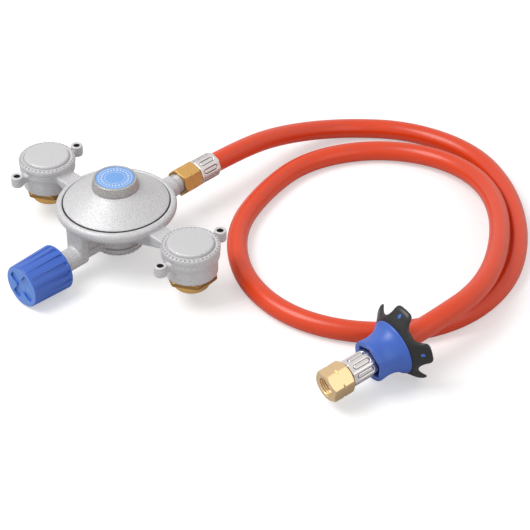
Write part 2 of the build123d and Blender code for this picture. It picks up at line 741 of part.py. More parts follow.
def ferrule_body(plane, turn=0.0):
    """A crimped ferrule from its lipped end along the plane's normal: facets with a
    pressed slot in each, a turned edge at both ends."""
    with BuildSketch(plane) as facets:
        RegularPolygon(ferrule_radius, ferrule_facets, major_radius=False, rotation=turn)
        fillet(facets.vertices(), ferrule_corner)
    extrude(facets.sketch, amount=ferrule_length)
    step = 360 / ferrule_facets
    for facet in range(ferrule_facets):
        angle = radians(turn + step * (facet + 0.5))
        outward = plane.x_dir * cos(angle) + plane.y_dir * sin(angle)
        seat = plane.origin + plane.z_dir * (ferrule_length / 2) + outward * (ferrule_radius - slot_depth)
        with BuildSketch(Plane(seat, x_dir=plane.z_dir, z_dir=outward)) as slot:
            SlotOverall(slot_length, slot_width)
        extrude(slot.sketch, amount=2 * slot_depth, mode=Mode.SUBTRACT)
    round_bar(plane.offset(ferrule_lip), half_hose + seat_gap, ferrule_length - ferrule_lip, Mode.SUBTRACT)
    round_bar(plane, tail_neck_radius + seat_gap, ferrule_lip, Mode.SUBTRACT)


outlet_plane = along_y(union_front, outlet_z)

with BuildPart() as outlet_nut:
    nut_body(outlet_plane, union_flats, union_length, thread_radius + seat_gap, union_turn)
save(outlet_nut, "outlet_nut")

with BuildPart() as outlet_tail:
    tail_body(outlet_plane.offset(spigot_reach + seat_gap - union_front))
save(outlet_tail, "outlet_tail")

with BuildPart() as outlet_ferrule:
    ferrule_body(along_y(outlet_ferrule_y, outlet_z))
save(outlet_ferrule, "outlet_ferrule")

# ---------------------------------------------------------------- hose
# The hose leaves the outlet, comes down to the floor, runs one and a half turns
# to the right and climbs over its own first turn into the far ferrule.
hose_start = (0, axis_y + outlet_ferrule_y + ferrule_lip + seat_gap, outlet_z)
floor_line = half_hose + seat_gap
hose_places = [
    (0, 112.9, outlet_z),
    (-1, 157.9, 17),
    (13, 202.9, 7.2),
    (48, 232.9, floor_line),
    (97, 241.9, floor_line),
    (142, 222.9, floor_line),
    (182, 185.9, floor_line),
    (207, 139.9, floor_line),
    (208, 88.9, floor_line),
    (180, 43.9, floor_line),
    (134, 20.9, floor_line),
    (85, 27.9, floor_line),
    (44, 60.9, floor_line),
    (26, 106.9, floor_line),
    (21, 152.9, floor_line),
    (43, 195.9, floor_line),
    (84, 218.9, 8.5),
    (130, 213.9, 12),
    (174, 176.9, 17),
    (210, 115.9, 22.5),
    (213, 56.5, 26.8),
    (202, -2, 18.5),
]
hose_route = [hose_start] + [(x, axis_y + y, z) for x, y, z in hose_places]


def corner_radii(route):
    """Each arc is as large as its two runs allow."""
    places = [Vector(*place) for place in route]
    radii = []
    for before, corner, after in zip(places, places[1:], places[2:]):
        run_in, run_out = corner - before, after - corner
        turn = radians(run_in.get_angle(run_out))
        radii.append(0.45 * min(run_in.length, run_out.length) / tan(turn / 2))
    return radii


hose_radii = corner_radii(hose_route)
print("hose radii", [round(radius) for radius in hose_radii])
with BuildPart() as hose:
    with BuildLine() as hose_line:
        FilletPolyline(*hose_route, radius=hose_radii)
    with BuildSketch(Plane(hose_line.line @ 0, z_dir=hose_line.line % 0)):
        Circle(half_hose)
        Circle(hose_bore / 2, mode=Mode.SUBTRACT)
    sweep(path=hose_line.line)
hose_section = pi * (half_hose ** 2 - (hose_bore / 2) ** 2)
hose_length = sum(edge.length for edge in hose_line.edges())
print("hose length", round(hose_length, 1),
      "volume / (section x length)", round(hose.part.volume / hose_section / hose_length, 4))
save(hose, "hose")

# ---------------------------------------------------------------- far end and hand wheel
hose_end = Vector(*hose_route[-1])
end_direction = (hose_end - Vector(*hose_route[-2])).normalized()
end_level = Vector(-end_direction.Y, end_direction.X, 0).normalized() * -1
end_seat = Plane(hose_end, x_dir=end_level, z_dir=end_direction * -1)
end_ferrule_plane = end_seat.offset(-(ferrule_lip + seat_gap))
end_nut_plane = end_ferrule_plane.offset(-(ferrule_step + end_nut_length))
end_tail_plane = end_nut_plane.offset(end_nut_length - nut_back_wall - tail_head_length - seat_gap)
wheel_plane = end_nut_plane.offset(end_nut_length + wheel_setback)

with BuildPart() as end_nut:
    nut_body(end_nut_plane, end_flats, end_nut_length, end_thread_bore, nut_turn)
save(end_nut, "end_nut")

with BuildPart() as end_tail:
    tail_body(end_tail_plane)
save(end_tail, "end_tail")

with BuildPart() as end_ferrule:
    ferrule_body(end_ferrule_plane)
save(end_ferrule, "end_ferrule")

with BuildPart() as wheel_sleeve:
    sleeve_half = Plane(wheel_plane.origin, x_dir=wheel_plane.x_dir, z_dir=-wheel_plane.y_dir)
    sleeve_line = Axis(wheel_plane.origin, wheel_plane.z_dir)
    flange_start = sleeve_length - flange_edge
    with BuildSketch(sleeve_half):
        with BuildLine():
            Polyline([(0, flange_start), (0, 0), (sleeve_mouth_radius - 0.6, 0), (sleeve_mouth_radius, 0.6)])
            Spline([(sleeve_mouth_radius, 0.6), (sleeve_waist_radius, sleeve_waist),
                    (sleeve_flange_radius, flange_start)],
                   tangents=[(-0.1, 1), (1, 0.9)])
            Line((sleeve_flange_radius, flange_start), (0, flange_start))
        make_face()
    revolve(axis=sleeve_line)
    round_bar(wheel_plane.offset(flange_start), sleeve_flange_radius, flange_edge)
    round_bar(wheel_plane.offset(sleeve_length), sleeve_hub_radius, star_hub_depth)
    hex_bar(wheel_plane, end_flats + 2 * slip, socket_depth, nut_turn, Mode.SUBTRACT)
    round_bar(wheel_plane, wheel_bore, sleeve_length + star_hub_depth, Mode.SUBTRACT)
save(wheel_sleeve, "wheel_sleeve")

# The arms lean back, so the star carries on the sleeve's flare.
star_reach = star_tip_radius + overcut
star_back = sleeve_length + star_lean * (star_reach - sleeve_flange_radius)
star_plane = wheel_plane.offset(sleeve_length)
star_depth = star_back + star_wall - sleeve_length

with BuildPart() as wheel_star:
    turn_profile([(sleeve_hub_radius + seat_gap, sleeve_length), (sleeve_flange_radius, sleeve_length),
                  (star_reach, star_back), (star_reach, star_back + star_wall),
                  (sleeve_flange_radius, sleeve_length + star_wall),
                  (star_hub_radius, sleeve_length + star_wall),
                  (star_hub_radius, sleeve_length + star_hub_depth),
                  (sleeve_hub_radius + seat_gap, sleeve_length + star_hub_depth)], sleeve_half, sleeve_line)
    with BuildSketch(star_plane) as star_outline:
        Circle(star_tip_radius)
        with PolarLocations(valley_centre, star_arms, start_angle=arm_turn + 180 / star_arms):
            Circle(valley_radius, mode=Mode.SUBTRACT)
        fillet(star_outline.vertices(), arm_round)
    extrude(amount=star_depth, mode=Mode.INTERSECT)
    with BuildSketch(star_plane):
        with PolarLocations(peg_circle, star_arms, start_angle=arm_turn):
            Circle(peg_radius + seat_gap)
    extrude(amount=star_depth, mode=Mode.SUBTRACT)
save(wheel_star, "wheel_star")

with BuildPart() as wheel_pegs:
    with BuildSketch(star_plane):
        with PolarLocations(peg_circle, star_arms, start_angle=arm_turn):
            Circle(peg_radius)
    extrude(amount=star_depth)
    turn_profile([(sleeve_flange_radius, sleeve_length - peg_head), (star_reach, star_back - peg_head),
                  (star_reach, star_back + star_wall), (sleeve_flange_radius, sleeve_length + star_wall)],
                 sleeve_half, sleeve_line, Mode.INTERSECT)
save(wheel_pegs, "wheel_pegs")

print("axis_y", round(axis_y, 3), "far nut", end_nut_plane.origin, end_direction, end_level)
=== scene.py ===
# %% [markdown]
# # A camping gas regulator and its hose
#
# Two gas cartridges screw up into the two pods, the housing between them lowers the
# gas pressure, and an orange hose takes the gas to a cooker. The solids of every part
# are already packed in true size. This lesson dresses them: it keeps nearly all the
# solids that are hidden, and builds the ones that show again with soft edges, threads
# and grain.

import math

import bmesh
import bpy
import numpy as np
from mathutils import Matrix, Vector


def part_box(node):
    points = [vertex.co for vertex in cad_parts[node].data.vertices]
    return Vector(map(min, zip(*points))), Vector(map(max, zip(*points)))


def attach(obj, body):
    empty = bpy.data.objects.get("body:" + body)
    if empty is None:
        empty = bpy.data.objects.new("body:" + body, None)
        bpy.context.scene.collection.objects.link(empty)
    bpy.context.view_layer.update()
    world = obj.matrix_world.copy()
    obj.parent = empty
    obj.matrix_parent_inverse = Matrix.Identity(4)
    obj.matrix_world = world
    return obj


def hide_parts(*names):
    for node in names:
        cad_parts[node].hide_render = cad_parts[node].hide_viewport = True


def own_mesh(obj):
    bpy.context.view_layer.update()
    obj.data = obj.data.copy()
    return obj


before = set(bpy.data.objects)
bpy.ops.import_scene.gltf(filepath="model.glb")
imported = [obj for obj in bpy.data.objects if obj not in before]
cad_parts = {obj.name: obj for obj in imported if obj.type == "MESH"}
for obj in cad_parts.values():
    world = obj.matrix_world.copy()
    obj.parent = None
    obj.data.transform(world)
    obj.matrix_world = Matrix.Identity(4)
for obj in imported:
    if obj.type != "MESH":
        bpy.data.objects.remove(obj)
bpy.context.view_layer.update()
MM = 0.001
print("solids in the frame:", len(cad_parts))

# %% [markdown]
# ## The camera
#
# A long lens from a little over a metre away gives the calm look of a catalogue. Its
# turn is built from the direction that it looks in, so there is no guessing of angles.

# %% Place the camera
eye = Vector((0.7139, -0.5949, 0.6920))
look = Vector((-0.5572, 0.5674, -0.6063)).normalized()
rightward = look.cross(Vector((0, 0, 1))).normalized()


def add_object(name, data):
    """A new object in the scene."""
    thing = bpy.data.objects.new(name, data)
    bpy.context.scene.collection.objects.link(thing)
    return thing


camera_lens = bpy.data.cameras.new("camera")
camera_lens.lens = 120.9
camera_lens.sensor_width = 36.0
camera = add_object("camera", camera_lens)
camera_turn = Matrix((rightward, rightward.cross(look), -look)).transposed().to_4x4()
camera.matrix_world = Matrix.Translation(eye) @ camera_turn
bpy.context.scene.camera = camera
print("camera is", round(eye.length, 2), "m from the regulator")

# %% [markdown]
# ## The line of the hose
#
# The hose is a stiff rubber tube. It leaves the outlet level, sinks to the floor, runs
# round once and a half and climbs over its own first turn to the far nut. A NURBS
# curve is the right tool for its line: it passes smoothly by its control points, so
# no bend shows a corner. Order 3 and the end-point switch are set after the points
# are in, because a curve without points forgets them.

# %% Draw the hose's line
hose_diameter = 13.3
off_floor = 0.05
lying = hose_diameter / 2 + off_floor
hose_route = [
    (0, 67.0, 27.1), (0, 110.35, 27.1), (-1, 155.35, 17), (13, 200.35, 7.2),
    (48, 230.35, lying), (97, 239.35, lying), (142, 220.35, lying), (182, 183.35, lying),
    (207, 137.35, lying), (208, 86.35, lying), (180, 41.35, lying), (134, 18.35, lying),
    (85, 25.35, lying), (44, 58.35, lying), (26, 104.35, lying), (21, 150.35, lying),
    (43, 193.35, lying), (84, 216.35, 8.5), (130, 211.35, 12), (174, 174.35, 17),
    (210, 113.35, 22.5), (213, 53.95, 26.8), (202, -4.55, 18.5),
]


def smooth_line(route):
    """Points along the NURBS curve of a route, in metres."""
    curve = bpy.data.curves.new("line", "CURVE")
    curve.dimensions = "3D"
    curve.resolution_u = 22
    spline = curve.splines.new("NURBS")
    spline.points.add(len(route) - 1)
    for point, place in zip(spline.points, route):
        point.co = (*(c * MM for c in place), 1)
    spline.order_u = 3
    spline.use_endpoint_u = True
    holder = add_object("line", curve)
    drawn = holder.evaluated_get(bpy.context.evaluated_depsgraph_get())
    mesh = bpy.data.meshes.new_from_object(drawn)
    line = [v.co.copy() for v in mesh.vertices]
    bpy.data.objects.remove(holder)
    bpy.data.meshes.remove(mesh)
    return line


hose_line = smooth_line(hose_route)

# %% [markdown]
# ## From rings to a skin
#
# Nearly every piece here was turned, cast or moulded round one axis, so one tool makes
# them all: a stack of rings, joined ring to ring into a skin of four-sided faces. A
# ring may be a circle, a hexagon or a star, which a lathe tool alone can't do.

# %% A skin over a stack of rings
def seat(origin, along=(0, 0, 1), across=(1, 0, 0)):
    """A piece's place: its axis (local z) along one direction, its local x across."""
    z = Vector(along).normalized()
    x = Vector(across).normalized()
    turn = Matrix((x, z.cross(x), z)).transposed().to_4x4()
    return Matrix.Translation(Vector(origin) * MM) @ turn


def skin(name, rings, place, loop=False, crease=38):
    """A closed mesh over rings of points in millimetres. A ring of one point is a tip."""
    corners, starts = [], []
    for level in rings:
        starts.append(len(corners))
        corners.extend(np.atleast_2d(level) * MM)
    pairs = list(zip(range(len(rings)), range(1, len(rings))))
    if loop:
        pairs.append((len(rings) - 1, 0))
    faces = []
    for a, b in pairs:
        count_a, count_b = len(np.atleast_2d(rings[a])), len(np.atleast_2d(rings[b]))
        count = max(count_a, count_b)
        for i in range(count):
            j = (i + 1) % count
            low = [starts[a] + i, starts[a] + j] if count_a > 1 else [starts[a]]
            high = [starts[b] + j, starts[b] + i] if count_b > 1 else [starts[b]]
            faces.append(low + high)
    mesh = bpy.data.meshes.new(name)
    mesh.from_pydata([tuple(c) for c in corners], [], faces)
    piece = add_object(name, mesh)
    piece.matrix_world = place
    finish_skin(piece, crease)
    return piece


def finish_skin(piece, crease):
    """Turns every face outward, then smooths all but the sharp edges."""
    work = bmesh.new()
    work.from_mesh(piece.data)
    bmesh.ops.recalc_face_normals(work, faces=work.faces)
    work.to_mesh(piece.data)
    work.free()
    piece.data.shade_smooth()
    piece.data.set_sharp_from_angle(angle=math.radians(crease))


# %% Rings of a radius that may change round the turn
def angles(count):
    return np.arange(count) * 2 * math.pi / count


def ring(turn, radius, height):
    """A ring at the given angles. Radius and height are numbers or arrays; no radius is a tip."""
    if np.ndim(radius) == 0 and radius < 1e-6:
        return np.array([0, 0, np.max(height)])
    return np.stack([radius * np.cos(turn), radius * np.sin(turn), height + 0 * turn], axis=1)


def stack(turn, section):
    """One round ring for each (radius, height) of a section."""
    return [ring(turn, radius, height) for radius, height in section]


def soften(corners, loop=False, steps=5):
    """Rounds the corners of a half-section, each (radius, height, rounding)."""
    line, most = [], 0.48
    count = len(corners)
    for i, (r, h, rounding) in enumerate(corners):
        here = Vector((r, h))
        if rounding == 0 or (not loop and i in (0, count - 1)):
            line.append((r, h))
            continue
        before, after = Vector(corners[i - 1][:2]), Vector(corners[(i + 1) % count][:2])
        back, onward = before - here, after - here
        start = here + back.normalized() * min(rounding, most * back.length)
        end = here + onward.normalized() * min(rounding, most * onward.length)
        for k in range(steps + 1):
            t = k / steps
            line.append(tuple(start * (1 - t) ** 2 + here * 2 * t * (1 - t) + end * t * t))
    return line


def fill_in(line, spacing):
    """Adds points to a section so that none lie further apart than the spacing."""
    dense = [line[0]]
    for a, b in zip(line, line[1:]):
        parts = max(1, math.ceil(math.dist(a, b) / spacing))
        run = np.array(b) - np.array(a)
        dense += [tuple(np.array(a) + run * k / parts) for k in range(1, parts + 1)]
    return dense


def turned(name, section, place, loop=False, sides=128):
    """A plain turned piece from a half-section of (radius, height, rounding)."""
    return skin(name, stack(angles(sides), soften(section, loop)), place, loop)


print("ring tools are ready")

# %% [markdown]
# ## Effects that several finishes share
#
# Sand-blasted metal, moulded plastic and rubber all have a fine grain, and turned brass
# and turned caps all have rings left by the lathe tool. Each of these effects is a node
# group with named inputs, so each finish sets its own size and depth.

# %% Start a shared effect
def effect(name, inputs, outputs):
    """An empty node group. Inputs are (name, kind, value), outputs (name, kind)."""
    group = bpy.data.node_groups.new(name, "ShaderNodeTree")
    for label, kind, value in inputs:
        socket = group.interface.new_socket(label, in_out="INPUT", socket_type="NodeSocket" + kind)
        if value is not None:
            socket.default_value = value
    for label, kind in outputs:
        group.interface.new_socket(label, in_out="OUTPUT", socket_type="NodeSocket" + kind)
    start = group.nodes.new("NodeGroupInput")
    end = group.nodes.new("NodeGroupOutput")
    return group, start, end


def sums(tree):
    """Makes Math nodes in a tree; each operand is a socket or a number."""
    def calc(operation, *operands, clamp=False):
        node = tree.nodes.new("ShaderNodeMath")
        node.operation = operation
        node.use_clamp = clamp
        for socket, value in zip(node.inputs, operands):
            if isinstance(value, (int, float)):
                socket.default_value = value
            else:
                tree.links.new(value, socket)
        return node.outputs[0]
    return calc


# %% Grain: the fine speckle of a blasted or moulded surface
MM_IN_M, noise_detail = 1000.0, 3.0
grain, grain_in, grain_out = effect(
    "fine grain",
    [("Vector", "Vector", None), ("Size mm", "Float", 0.5), ("Contrast", "Float", 0.3)],
    [("Shade", "Float"), ("Height", "Float")])
calc = sums(grain)
speckle = grain.nodes.new("ShaderNodeTexNoise")
speckle.inputs["Detail"].default_value = noise_detail
grain.links.new(grain_in.outputs["Vector"], speckle.inputs["Vector"])
grain.links.new(calc("DIVIDE", MM_IN_M, grain_in.outputs["Size mm"]), speckle.inputs["Scale"])
centred = calc("SUBTRACT", speckle.outputs["Fac"], 0.5)
grain_swing = calc("MULTIPLY", centred, grain_in.outputs["Contrast"])
grain.links.new(calc("ADD", grain_swing, 0.5, clamp=True), grain_out.inputs["Shade"])
grain.links.new(speckle.outputs["Fac"], grain_out.inputs["Height"])

# %% Lathe rings: fine marks round a piece's own axis
lathe, lathe_in, lathe_out = effect(
    "lathe rings", [("Vector", "Vector", None), ("Spacing mm", "Float", 0.3)],
    [("Shade", "Float"), ("Height", "Float")])
calc = sums(lathe)
split = lathe.nodes.new("ShaderNodeSeparateXYZ")
lathe.links.new(lathe_in.outputs["Vector"], split.inputs[0])
flat_place = lathe.nodes.new("ShaderNodeCombineXYZ")
for axis in "XY":
    lathe.links.new(split.outputs[axis], flat_place.inputs[axis])
reach = lathe.nodes.new("ShaderNodeVectorMath")
reach.operation = "LENGTH"
lathe.links.new(flat_place.outputs[0], reach.inputs[0])
along_tool = calc("ADD", reach.outputs["Value"], split.outputs["Z"])
ring_scale = calc("DIVIDE", MM_IN_M, lathe_in.outputs["Spacing mm"])
ring_noise = lathe.nodes.new("ShaderNodeTexNoise")
ring_noise.noise_dimensions = "1D"
ring_noise.inputs["Detail"].default_value = noise_detail
ring_noise.inputs["Scale"].default_value = 1.0
lathe.links.new(calc("MULTIPLY", along_tool, ring_scale), ring_noise.inputs["W"])
for label in ("Shade", "Height"):
    lathe.links.new(ring_noise.outputs["Fac"], lathe_out.inputs[label])

# %% [markdown]
# Edges that hands and tools reach are polished brighter than the faces. Cycles knows
# how sharply a surface turns at each point, which it calls pointiness, and that value
# makes the mask. It only varies where the mesh has points close together, which is
# one more reason for the dense skins.

# %% Rubbed edges
edge_steepness = 14.0
rubbed, rubbed_in, rubbed_out = effect(
    "rubbed edges", [("From", "Float", 0.52), ("Amount", "Float", 0.5)], [("Mask", "Float")])
calc = sums(rubbed)
surface = rubbed.nodes.new("ShaderNodeNewGeometry")
over_edge = calc("SUBTRACT", surface.outputs["Pointiness"], rubbed_in.outputs["From"])
steeper = calc("MULTIPLY", over_edge, edge_steepness, clamp=True)
rubbed.links.new(calc("MULTIPLY", steeper, rubbed_in.outputs["Amount"]), rubbed_out.inputs["Mask"])
print("shared effects:", [g.name for g in (grain, lathe, rubbed)])

# %% [markdown]
# ## The finishes
#
# One function starts a finish: two colours mixed by the grain's shade, a third on the
# rubbed edges, a roughness that follows the same grain, and a bump from its height.
# Every finish differs only in colours, size of grain, metal and gloss.

# %% Mix two colours
def mix_colours(tree, factor, first, second):
    """Mixes two colours, each a socket or three numbers."""
    node = tree.nodes.new("ShaderNodeMix")
    node.data_type = "RGBA"
    tree.links.new(factor, node.inputs["Factor"])
    for socket, value in ((node.inputs[6], first), (node.inputs[7], second)):
        if isinstance(value, tuple):
            socket.default_value = (*value, 1.0)
        else:
            tree.links.new(value, socket)
    return node.outputs[2]


# %% A finish from grain, edges and bump
rough_swing = 0.12


def finish(name, dark, light, edge, metal, rough, size, contrast, bump_mm, from_lathe=False,
           edge_amount=0.5):
    """A material. Colours are linear; rough is the middle roughness."""
    material = bpy.data.materials.new(name)
    material.use_nodes = True
    tree = material.node_tree
    nodes, links, calc = tree.nodes, tree.links, sums(tree)
    shader = nodes["Principled BSDF"]
    shader.inputs["Metallic"].default_value = metal
    marks = nodes.new("ShaderNodeGroup")
    marks.node_tree = lathe if from_lathe else grain
    links.new(nodes.new("ShaderNodeTexCoord").outputs["Object"], marks.inputs["Vector"])
    marks.inputs["Spacing mm" if from_lathe else "Size mm"].default_value = size
    shade = marks.outputs["Shade"]
    if from_lathe:
        shade = calc("MULTIPLY_ADD", shade, contrast, 0.5 - contrast / 2, clamp=True)
    else:
        marks.inputs["Contrast"].default_value = contrast
    tone = mix_colours(tree, shade, dark, light)
    edges = nodes.new("ShaderNodeGroup")
    edges.node_tree = rubbed
    edges.inputs["Amount"].default_value = edge_amount
    tone = mix_colours(tree, edges.outputs["Mask"], tone, edge)
    links.new(tone, shader.inputs["Base Color"])
    links.new(calc("MULTIPLY_ADD", shade, -rough_swing, rough + rough_swing / 2),
              shader.inputs["Roughness"])
    bump = nodes.new("ShaderNodeBump")
    bump.inputs["Strength"].default_value = 1.0
    bump.inputs["Distance"].default_value = bump_mm * MM
    links.new(marks.outputs["Height"], bump.inputs["Height"])
    links.new(bump.outputs["Normal"], shader.inputs["Normal"])
    return material


# %% Metals
blasted = finish("blasted casting", (0.43, 0.42, 0.43), (0.74, 0.73, 0.74), (0.86, 0.86, 0.86),
                 metal=0.2, rough=0.5, size=0.6, contrast=2.2, bump_mm=0.07)
capped = finish("satin cap", (0.26, 0.25, 0.24), (0.60, 0.58, 0.56), (0.85, 0.84, 0.82),
                metal=0.6, rough=0.4, size=0.6, contrast=2.2, bump_mm=0.07)
brass = finish("turned brass", (0.56, 0.30, 0.09), (0.78, 0.48, 0.17), (0.95, 0.74, 0.42),
               metal=1.0, rough=0.27, size=0.35, contrast=0.5, bump_mm=0.01, from_lathe=True)
pale_brass = finish("pale brass", (0.64, 0.44, 0.22), (0.84, 0.62, 0.36), (0.97, 0.84, 0.62),
                    metal=1.0, rough=0.3, size=0.35, contrast=0.6, bump_mm=0.012, from_lathe=True)
# Darker brass for the connectors' flats: a painted reflection of the shaded floor.
brass_in_painted_shade = finish("brass with painted shade", (0.24, 0.13, 0.04), (0.38, 0.23, 0.09), (0.6, 0.42, 0.2),
                    metal=1.0, rough=0.4, size=0.35, contrast=0.6, bump_mm=0.012, from_lathe=True)
plated = finish("bright plating", (0.64, 0.60, 0.59), (0.74, 0.70, 0.69), (0.95, 0.93, 0.92),
                metal=1.0, rough=0.24, size=1.4, contrast=0.9, bump_mm=0.004)
steel = finish("plain steel", (0.36, 0.36, 0.37), (0.56, 0.56, 0.57), (0.75, 0.75, 0.75),
               metal=1.0, rough=0.34, size=0.5, contrast=0.8, bump_mm=0.01)
# Painted shade in narrow gaps, bores and press lines.
painted_shade = finish("painted gap shade", (0.020, 0.020, 0.022), (0.055, 0.052, 0.055), (0.10, 0.10, 0.10),
               metal=0.0, rough=0.7, size=0.4, contrast=1.5, bump_mm=0.02)
print("metals are ready")

# %% Plastics and rubber
blue = finish("blue moulding", (0.040, 0.118, 0.500), (0.055, 0.148, 0.570), (0.13, 0.27, 0.76),
              metal=0.0, rough=0.36, size=0.5, contrast=0.5, bump_mm=0.012)
# A lighter blue for the knob's front: painted light on the face that turns to the lamp.
blue_in_painted_light = finish("blue face with painted light", (0.10, 0.24, 0.68), (0.125, 0.28, 0.74), (0.20, 0.38, 0.86),
                   metal=0.0, rough=0.36, size=0.5, contrast=0.5, bump_mm=0.012)
black = finish("black moulding", (0.006, 0.005, 0.006), (0.012, 0.010, 0.012), (0.04, 0.04, 0.042),
               metal=0.0, rough=0.36, size=0.45, contrast=0.8, bump_mm=0.02)
nitrile = finish("black rubber", (0.012, 0.012, 0.012), (0.025, 0.025, 0.025), (0.05, 0.05, 0.05),
                 metal=0.0, rough=0.6, size=0.4, contrast=0.6, bump_mm=0.01)
print("plastics are ready")

# %% Dress a piece
def dress(piece, material, slot, body, *nodes):
    """Gives a piece its finish, the body it moves with and the solids it stands for."""
    piece.data.materials.clear()
    piece.data.materials.append(material)
    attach(piece, body)
    if nodes:
        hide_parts(*nodes)
    print(piece.name, "for", ", ".join(nodes) or "itself", len(piece.data.polygons), "faces")


def part_finish(piece, material, test):
    """Gives the faces whose middle passes a test (x, y, z in mm) their own finish."""
    piece.data.materials.append(material)
    own = len(piece.data.materials) - 1
    chosen = [face for face in piece.data.polygons if test(*(face.center / MM))]
    for face in chosen:
        face.material_index = own
    print(piece.name, "has", len(chosen), "faces in", material.name)


def paint(material, *nodes):
    """Gives solids that stay as they are a finish."""
    for node in nodes:
        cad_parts[node].data.materials.clear()
        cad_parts[node].data.materials.append(material)
    print(material.name, "on", ", ".join(nodes))


# %% [markdown]
# ## Where the pieces sit
#
# The regulator stands on one upright axis, each pod on its own, and the valve, the
# outlet and the hose's far end lie along their own lines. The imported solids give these
# places, so the skins meet them without fitting.

# %% The axes
def middle(node):
    low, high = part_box(node)
    return (low + high) / 2 / MM


housing = middle("bonnet_cover")
left_pod, right_pod = middle("left_pod_cover"), middle("right_pod_cover")
valve = middle("valve_knob")
knob_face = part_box("valve_knob")[0].y / MM
union_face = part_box("outlet_nut")[0].y / MM
union_height = middle("outlet_nut").z
far_mouth = Vector((198.879, -21.146, 16.145))
far_along = Vector((0.183025, 0.97336, 0.138101))
far_across = Vector((-0.982777, 0.184796, 0))
nut_turn = 42.0               # degrees from far_across to the far nut's first corner

far_place = seat(far_mouth, far_along, far_across)
knob_place = seat((0, knob_face, valve.z), (0, 1, 0))
union_place = seat((0, union_face, union_height), (0, 1, 0))
print("housing axis at", [round(c, 1) for c in housing.xy])
print("far nut at", [round(c, 1) for c in far_mouth])

# %% [markdown]
# ## The casting
#
# Bowl, arms, pods and valve neck are one zinc casting. Metal that flowed into a mould
# has no sharp corner anywhere: every edge is rounded and every joint has a small
# fillet. Rebuilding it by hand would take long and gain little, so this copies the
# solid, remeshes the copy into an even net of small cells, and smooths that net. The
# smoothing wears the edges down the way that a mould and a sand blast do.

# %% Cast copy of the solid
def cast_copy(name, node, cell_mm, rounds):
    """A copy of a solid with its edges worn round."""
    copy = add_object(name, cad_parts[node].data.copy())
    weld = copy.modifiers.new("weld", "WELD")
    weld.merge_threshold = 0.01 * MM
    remesh = copy.modifiers.new("net", "REMESH")
    remesh.mode = "VOXEL"
    remesh.voxel_size = cell_mm * MM
    wear = copy.modifiers.new("wear", "SMOOTH")
    wear.factor = 0.5
    wear.iterations = rounds
    shaped = copy.evaluated_get(bpy.context.evaluated_depsgraph_get())
    mesh = bpy.data.meshes.new_from_object(shaped)
    copy.modifiers.clear()
    copy.data = mesh
    mesh.shade_smooth()
    return copy


casting = cast_copy("casting", "manifold_body", cell_mm=0.63, rounds=5)
dress(casting, blasted, "casting", "regulator", "manifold_body")


lug_y, lug_bore, lug_mouth = 25.4, 2.45, 38.0


def in_lug_bore(x, y, z):
    """True inside one of the four screw holes, below its rounded mouth."""
    aside, along = abs(x) - right_pod.x, abs(y - right_pod.y) - lug_y
    return z < lug_mouth and math.hypot(aside, along) < lug_bore


# The walls of the four screw holes get painted shade.
part_finish(casting, painted_shade, in_lug_bore)

# %% [markdown]
# ## The cover and its cap
#
# The cover is a shallow cone pressed into the bowl's rim, with a fine gap all round
# that is painted dark as shade. It ends in a neck, and a turned cap with a blue disc
# closes the neck. Each is one half-section turned round the housing's axis.

# %% Cover, cap and disc
upright = seat((0, housing.y, 0))
cover_low, cap_low, cap_high = 37.85, 51.35, 57.6
seam_radius, seam_top = 33.6, 40.1
cover = turned("cover", [
    (28.0, cover_low, 0.2), (33.95, cover_low, 0.3), (33.95, 39.9, 0.5), (33.3, 40.75, 0.9),
    (17.0, 50.0, 2.2), (15.75, 51.25, 0.25), (13.02, 51.25, 0.1), (13.02, 55.8, 0.3),
    (11.07, 55.8, 0.2), (11.07, 49.1, 0.2), (15.0, 49.1, 0.5), (28.0, 38.95, 0.2)],
    upright, loop=True, sides=220)
dress(cover, blasted, "casting", "regulator", "bonnet_cover")
# The cover's wall below its top edge gets painted shade, so the seam shows dark.
part_finish(cover, painted_shade, lambda x, y, z: math.hypot(x, y) > seam_radius and z < seam_top)

cap = turned("cap", [
    (0, 55.85, 0), (13.05, 55.85, 0.1), (13.05, cap_low, 0.2), (14.9, cap_low, 0.35),
    (14.95, 52.5, 0.6), (13.95, 57.0, 0.3), (13.6, cap_high, 0.45), (12.5, cap_high, 0.3),
    (12.35, 56.8, 0.1), (0, 56.8, 0)], upright, sides=180)
dress(cap, capped, "casting", "regulator", "adjuster_cap")

# %% [markdown]
# ## The pods' covers
#
# Each pod is closed by a pressed plate that a crimped crown holds: the rim is cut into
# forty teeth, and the teeth are bent in over the plate. The crown is a turned ring
# with a small pit between each two teeth, which only needs a height that changes round
# the turn. The rings lie closest together where the pits are.

# %% Crimped pod covers
crown_teeth, pit_depth = 40, 1.0
pit_inner, pit_outer = 16.7, 17.95
crown_shoulder, ring_inner = 2.9, 16.3


def pod_crown(name, pod, low):
    """The ring slopes in to the plate, and a small pit is pressed between two teeth."""
    turn = angles(crown_teeth * 10)
    gap = np.clip((np.cos(turn * crown_teeth) + 0.3) / 0.35, 0, 1)
    section = soften([
        (0, 0, 0), (18.5, 0, 0.4), (18.6, 2.2, 1.2), (18.0, 3.55, 0.9), (17.1, 3.9, 0.5),
        (15.4, 3.45, 0.3), (15.25, 2.95, 0.15), (14.75, 2.95, 0.15), (14.6, 4.6, 0.5),
        (13.8, 5.4, 0.7), (0, 5.4, 0)])
    upper = [i for i, (radius, height) in enumerate(section) if height > crown_shoulder]
    first, last = upper[0], next(i for i in upper if section[i][0] < ring_inner)
    section = section[:first] + fill_in(section[first:last], 0.13) + section[last:]
    rings = []
    for radius, height in section:
        pit = np.clip((radius - pit_inner) / 0.2, 0, 1) * np.clip((pit_outer - radius) / 0.15, 0, 1)
        sunk = pit_depth * gap * pit * (height > crown_shoulder)
        rings.append(ring(turn, radius, height - sunk))
    return skin(name, rings, seat((pod.x, pod.y, low)), crease=40)


